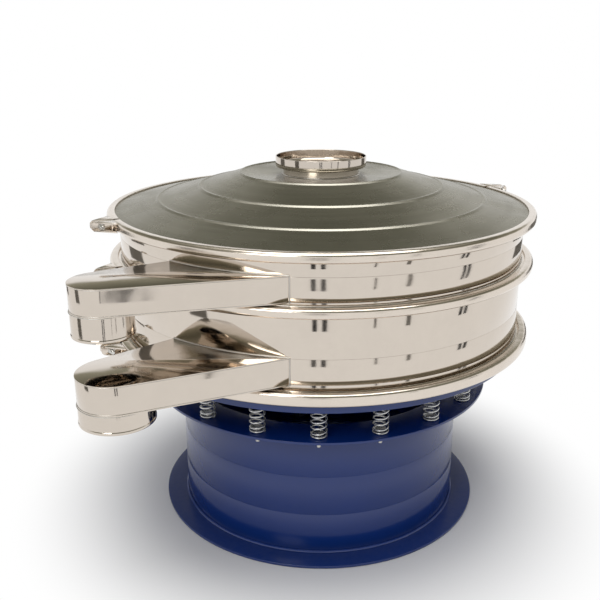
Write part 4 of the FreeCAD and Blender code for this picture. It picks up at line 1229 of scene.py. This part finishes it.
def build_stage():
    """Floor, surroundings, softboxes, dark reflection flags and the camera."""
    studio = bpy.context.scene.sieve_studio
    build_world(studio.fill)
    wide = 14.0
    stage_sheet("studio_floor", [(-wide, -wide, -0.0006), (wide, -wide, -0.0006),
                                 (wide, wide, -0.0006), (-wide, wide, -0.0006)], floor_finish())
    material, nodes, links, shader = new_finish("studio_flag")
    shader.inputs["Base Color"].default_value = (0.012, 0.012, 0.014, 1)
    shader.inputs["Roughness"].default_value = 0.9
    grey, nodes, links, shader = new_finish("studio_screen")
    shader.inputs["Base Color"].default_value = (0.22, 0.21, 0.19, 1)
    shader.inputs["Roughness"].default_value = 0.9
    flags = ((-92.4, 2.4, 0.085, material), (-88.1, 2.4, 0.085, material),
             (-15.2, 2.4, 0.085, material), (-18.4, 2.4, 0.085, material),
             (-150.0, 2.6, 0.5, grey), (-48.0, 2.6, 0.10, grey), (-64.0, 2.6, 0.05, grey),
             (40.0, 2.6, 0.9, grey), (-200.0, 2.6, 0.8, grey))
    for number, (azimuth, reach, width, finish_used) in enumerate(flags):
        angle = math.radians(azimuth)
        out = np.array([math.cos(angle), math.sin(angle)]) * reach
        side = np.array([-math.sin(angle), math.cos(angle)]) * width / 2
        a, b = out - side, out + side
        stage_sheet(f"studio_flag_{number}", [(*a, 0.24), (*b, 0.24), (*b, 1.0), (*a, 1.0)],
                    finish_used, True)
    softbox("overhead_softbox", (0.2, -0.5, 3.3), (0, 0, 0.9), 2.4, studio.overhead)
    softbox("key_softbox", (-1.3, -3.0, 2.6), (0, 0, 0.6), 1.3, studio.key)
    camera = bpy.data.objects.new("studio_camera", bpy.data.cameras.new("studio_camera"))
    camera.data.lens = 47.77
    camera.data.sensor_width = 36.0
    camera.location = (0.0, -2.3932, 1.4056)
    camera.rotation_euler = (math.pi / 2 - 0.3141, 0.0007, 0.026)
    bpy.context.scene.collection.objects.link(camera)
    bpy.context.scene.camera = camera
    bpy.context.scene.view_settings.view_transform = "Standard"


# ------------------------------------------------------------------ operators and panel
class SIEVE_OT_base(bpy.types.Operator):
    """Build the foot, drum and spring shelf with their welds"""
    bl_idname = "sieve.base"
    bl_label = "Base"

    def execute(self, context):
        build_base()
        return {"FINISHED"}


class SIEVE_OT_hatch(bpy.types.Operator):
    """Build the hatch cover and its screws"""
    bl_idname = "sieve.hatch"
    bl_label = "Hatch"

    def execute(self, context):
        build_hatch()
        return {"FINISHED"}


class SIEVE_OT_springs(bpy.types.Operator):
    """Build the springs and the bolts and spigots that centre them"""
    bl_idname = "sieve.springs"
    bl_label = "Springs"

    def execute(self, context):
        build_spring_bolts()
        build_springs()
        return {"FINISHED"}


class SIEVE_OT_drive(bpy.types.Operator):
    """Build the spring table, motor, shaft and eccentric weights"""
    bl_idname = "sieve.drive"
    bl_label = "Drive"

    def execute(self, context):
        build_table()
        build_drive()
        return {"FINISHED"}


class SIEVE_OT_frames(bpy.types.Operator):
    """Build the frames' walls and finish the screen, seals and flanges"""
    bl_idname = "sieve.frames"
    bl_label = "Frames"

    def execute(self, context):
        build_frames()
        dress_kept_solids()
        return {"FINISHED"}


class SIEVE_OT_ducts(bpy.types.Operator):
    """Build the two side ducts and their spouts"""
    bl_idname = "sieve.ducts"
    bl_label = "Ducts"

    def execute(self, context):
        build_ducts()
        return {"FINISHED"}


class SIEVE_OT_lid(bpy.types.Operator):
    """Build the spun lid and the inlet's neck and collar"""
    bl_idname = "sieve.lid"
    bl_label = "Lid"

    def execute(self, context):
        build_lid()
        build_neck()
        return {"FINISHED"}


class SIEVE_OT_clamps(bpy.types.Operator):
    """Build the three clamp rings and their closures"""
    bl_idname = "sieve.clamps"
    bl_label = "Clamp Rings"

    def execute(self, context):
        build_clamps()
        return {"FINISHED"}


class SIEVE_OT_stage(bpy.types.Operator):
    """Build the floor, surroundings, lamps and camera"""
    bl_idname = "sieve.stage"
    bl_label = "Studio"

    def execute(self, context):
        build_stage()
        return {"FINISHED"}


SETTINGS = (("sieve_colours", SieveColours), ("sieve_sheet", SieveSheet), ("sieve_lid", SieveLid),
            ("sieve_clamps", SieveClamps), ("sieve_springs", SieveSprings),
            ("sieve_ducts", SieveDucts), ("sieve_studio", SieveStudio))
OPERATORS = (SIEVE_OT_stage, SIEVE_OT_base, SIEVE_OT_hatch, SIEVE_OT_springs, SIEVE_OT_drive,
             SIEVE_OT_frames, SIEVE_OT_ducts, SIEVE_OT_lid, SIEVE_OT_clamps)


class SIEVE_PT_panel(bpy.types.Panel):
    """The sieve's sizes, colours and builders"""
    bl_idname = "SIEVE_PT_panel"
    bl_label = "Sieve"
    bl_space_type = "VIEW_3D"
    bl_region_type = "UI"
    bl_category = "Sieve"

    def draw(self, context):
        layout = self.layout
        for label, settings in SETTINGS:
            box = layout.box()
            for name in settings.__annotations__:
                box.prop(getattr(context.scene, label), name)
        for operator in OPERATORS:
            layout.operator(operator.bl_idname)


def register():
    """Register the settings, operators and panel."""
    for label, settings in SETTINGS:
        bpy.utils.register_class(settings)
        setattr(bpy.types.Scene, label, bpy.props.PointerProperty(type=settings))
    for operator in OPERATORS:
        bpy.utils.register_class(operator)
    bpy.utils.register_class(SIEVE_PT_panel)


def unregister():
    """Take the panel, operators and settings away again."""
    bpy.utils.unregister_class(SIEVE_PT_panel)
    for operator in reversed(OPERATORS):
        bpy.utils.unregister_class(operator)
    for label, settings in reversed(SETTINGS):
        delattr(bpy.types.Scene, label)
        bpy.utils.unregister_class(settings)


def main():
    """Build everything in order."""
    register()
    bpy.ops.sieve.stage()
    bpy.ops.sieve.base()
    bpy.ops.sieve.hatch()
    bpy.ops.sieve.springs()
    bpy.ops.sieve.drive()
    bpy.ops.sieve.frames()
    bpy.ops.sieve.ducts()
    bpy.ops.sieve.lid()
    bpy.ops.sieve.clamps()


if __name__ == "__main__":
    main()
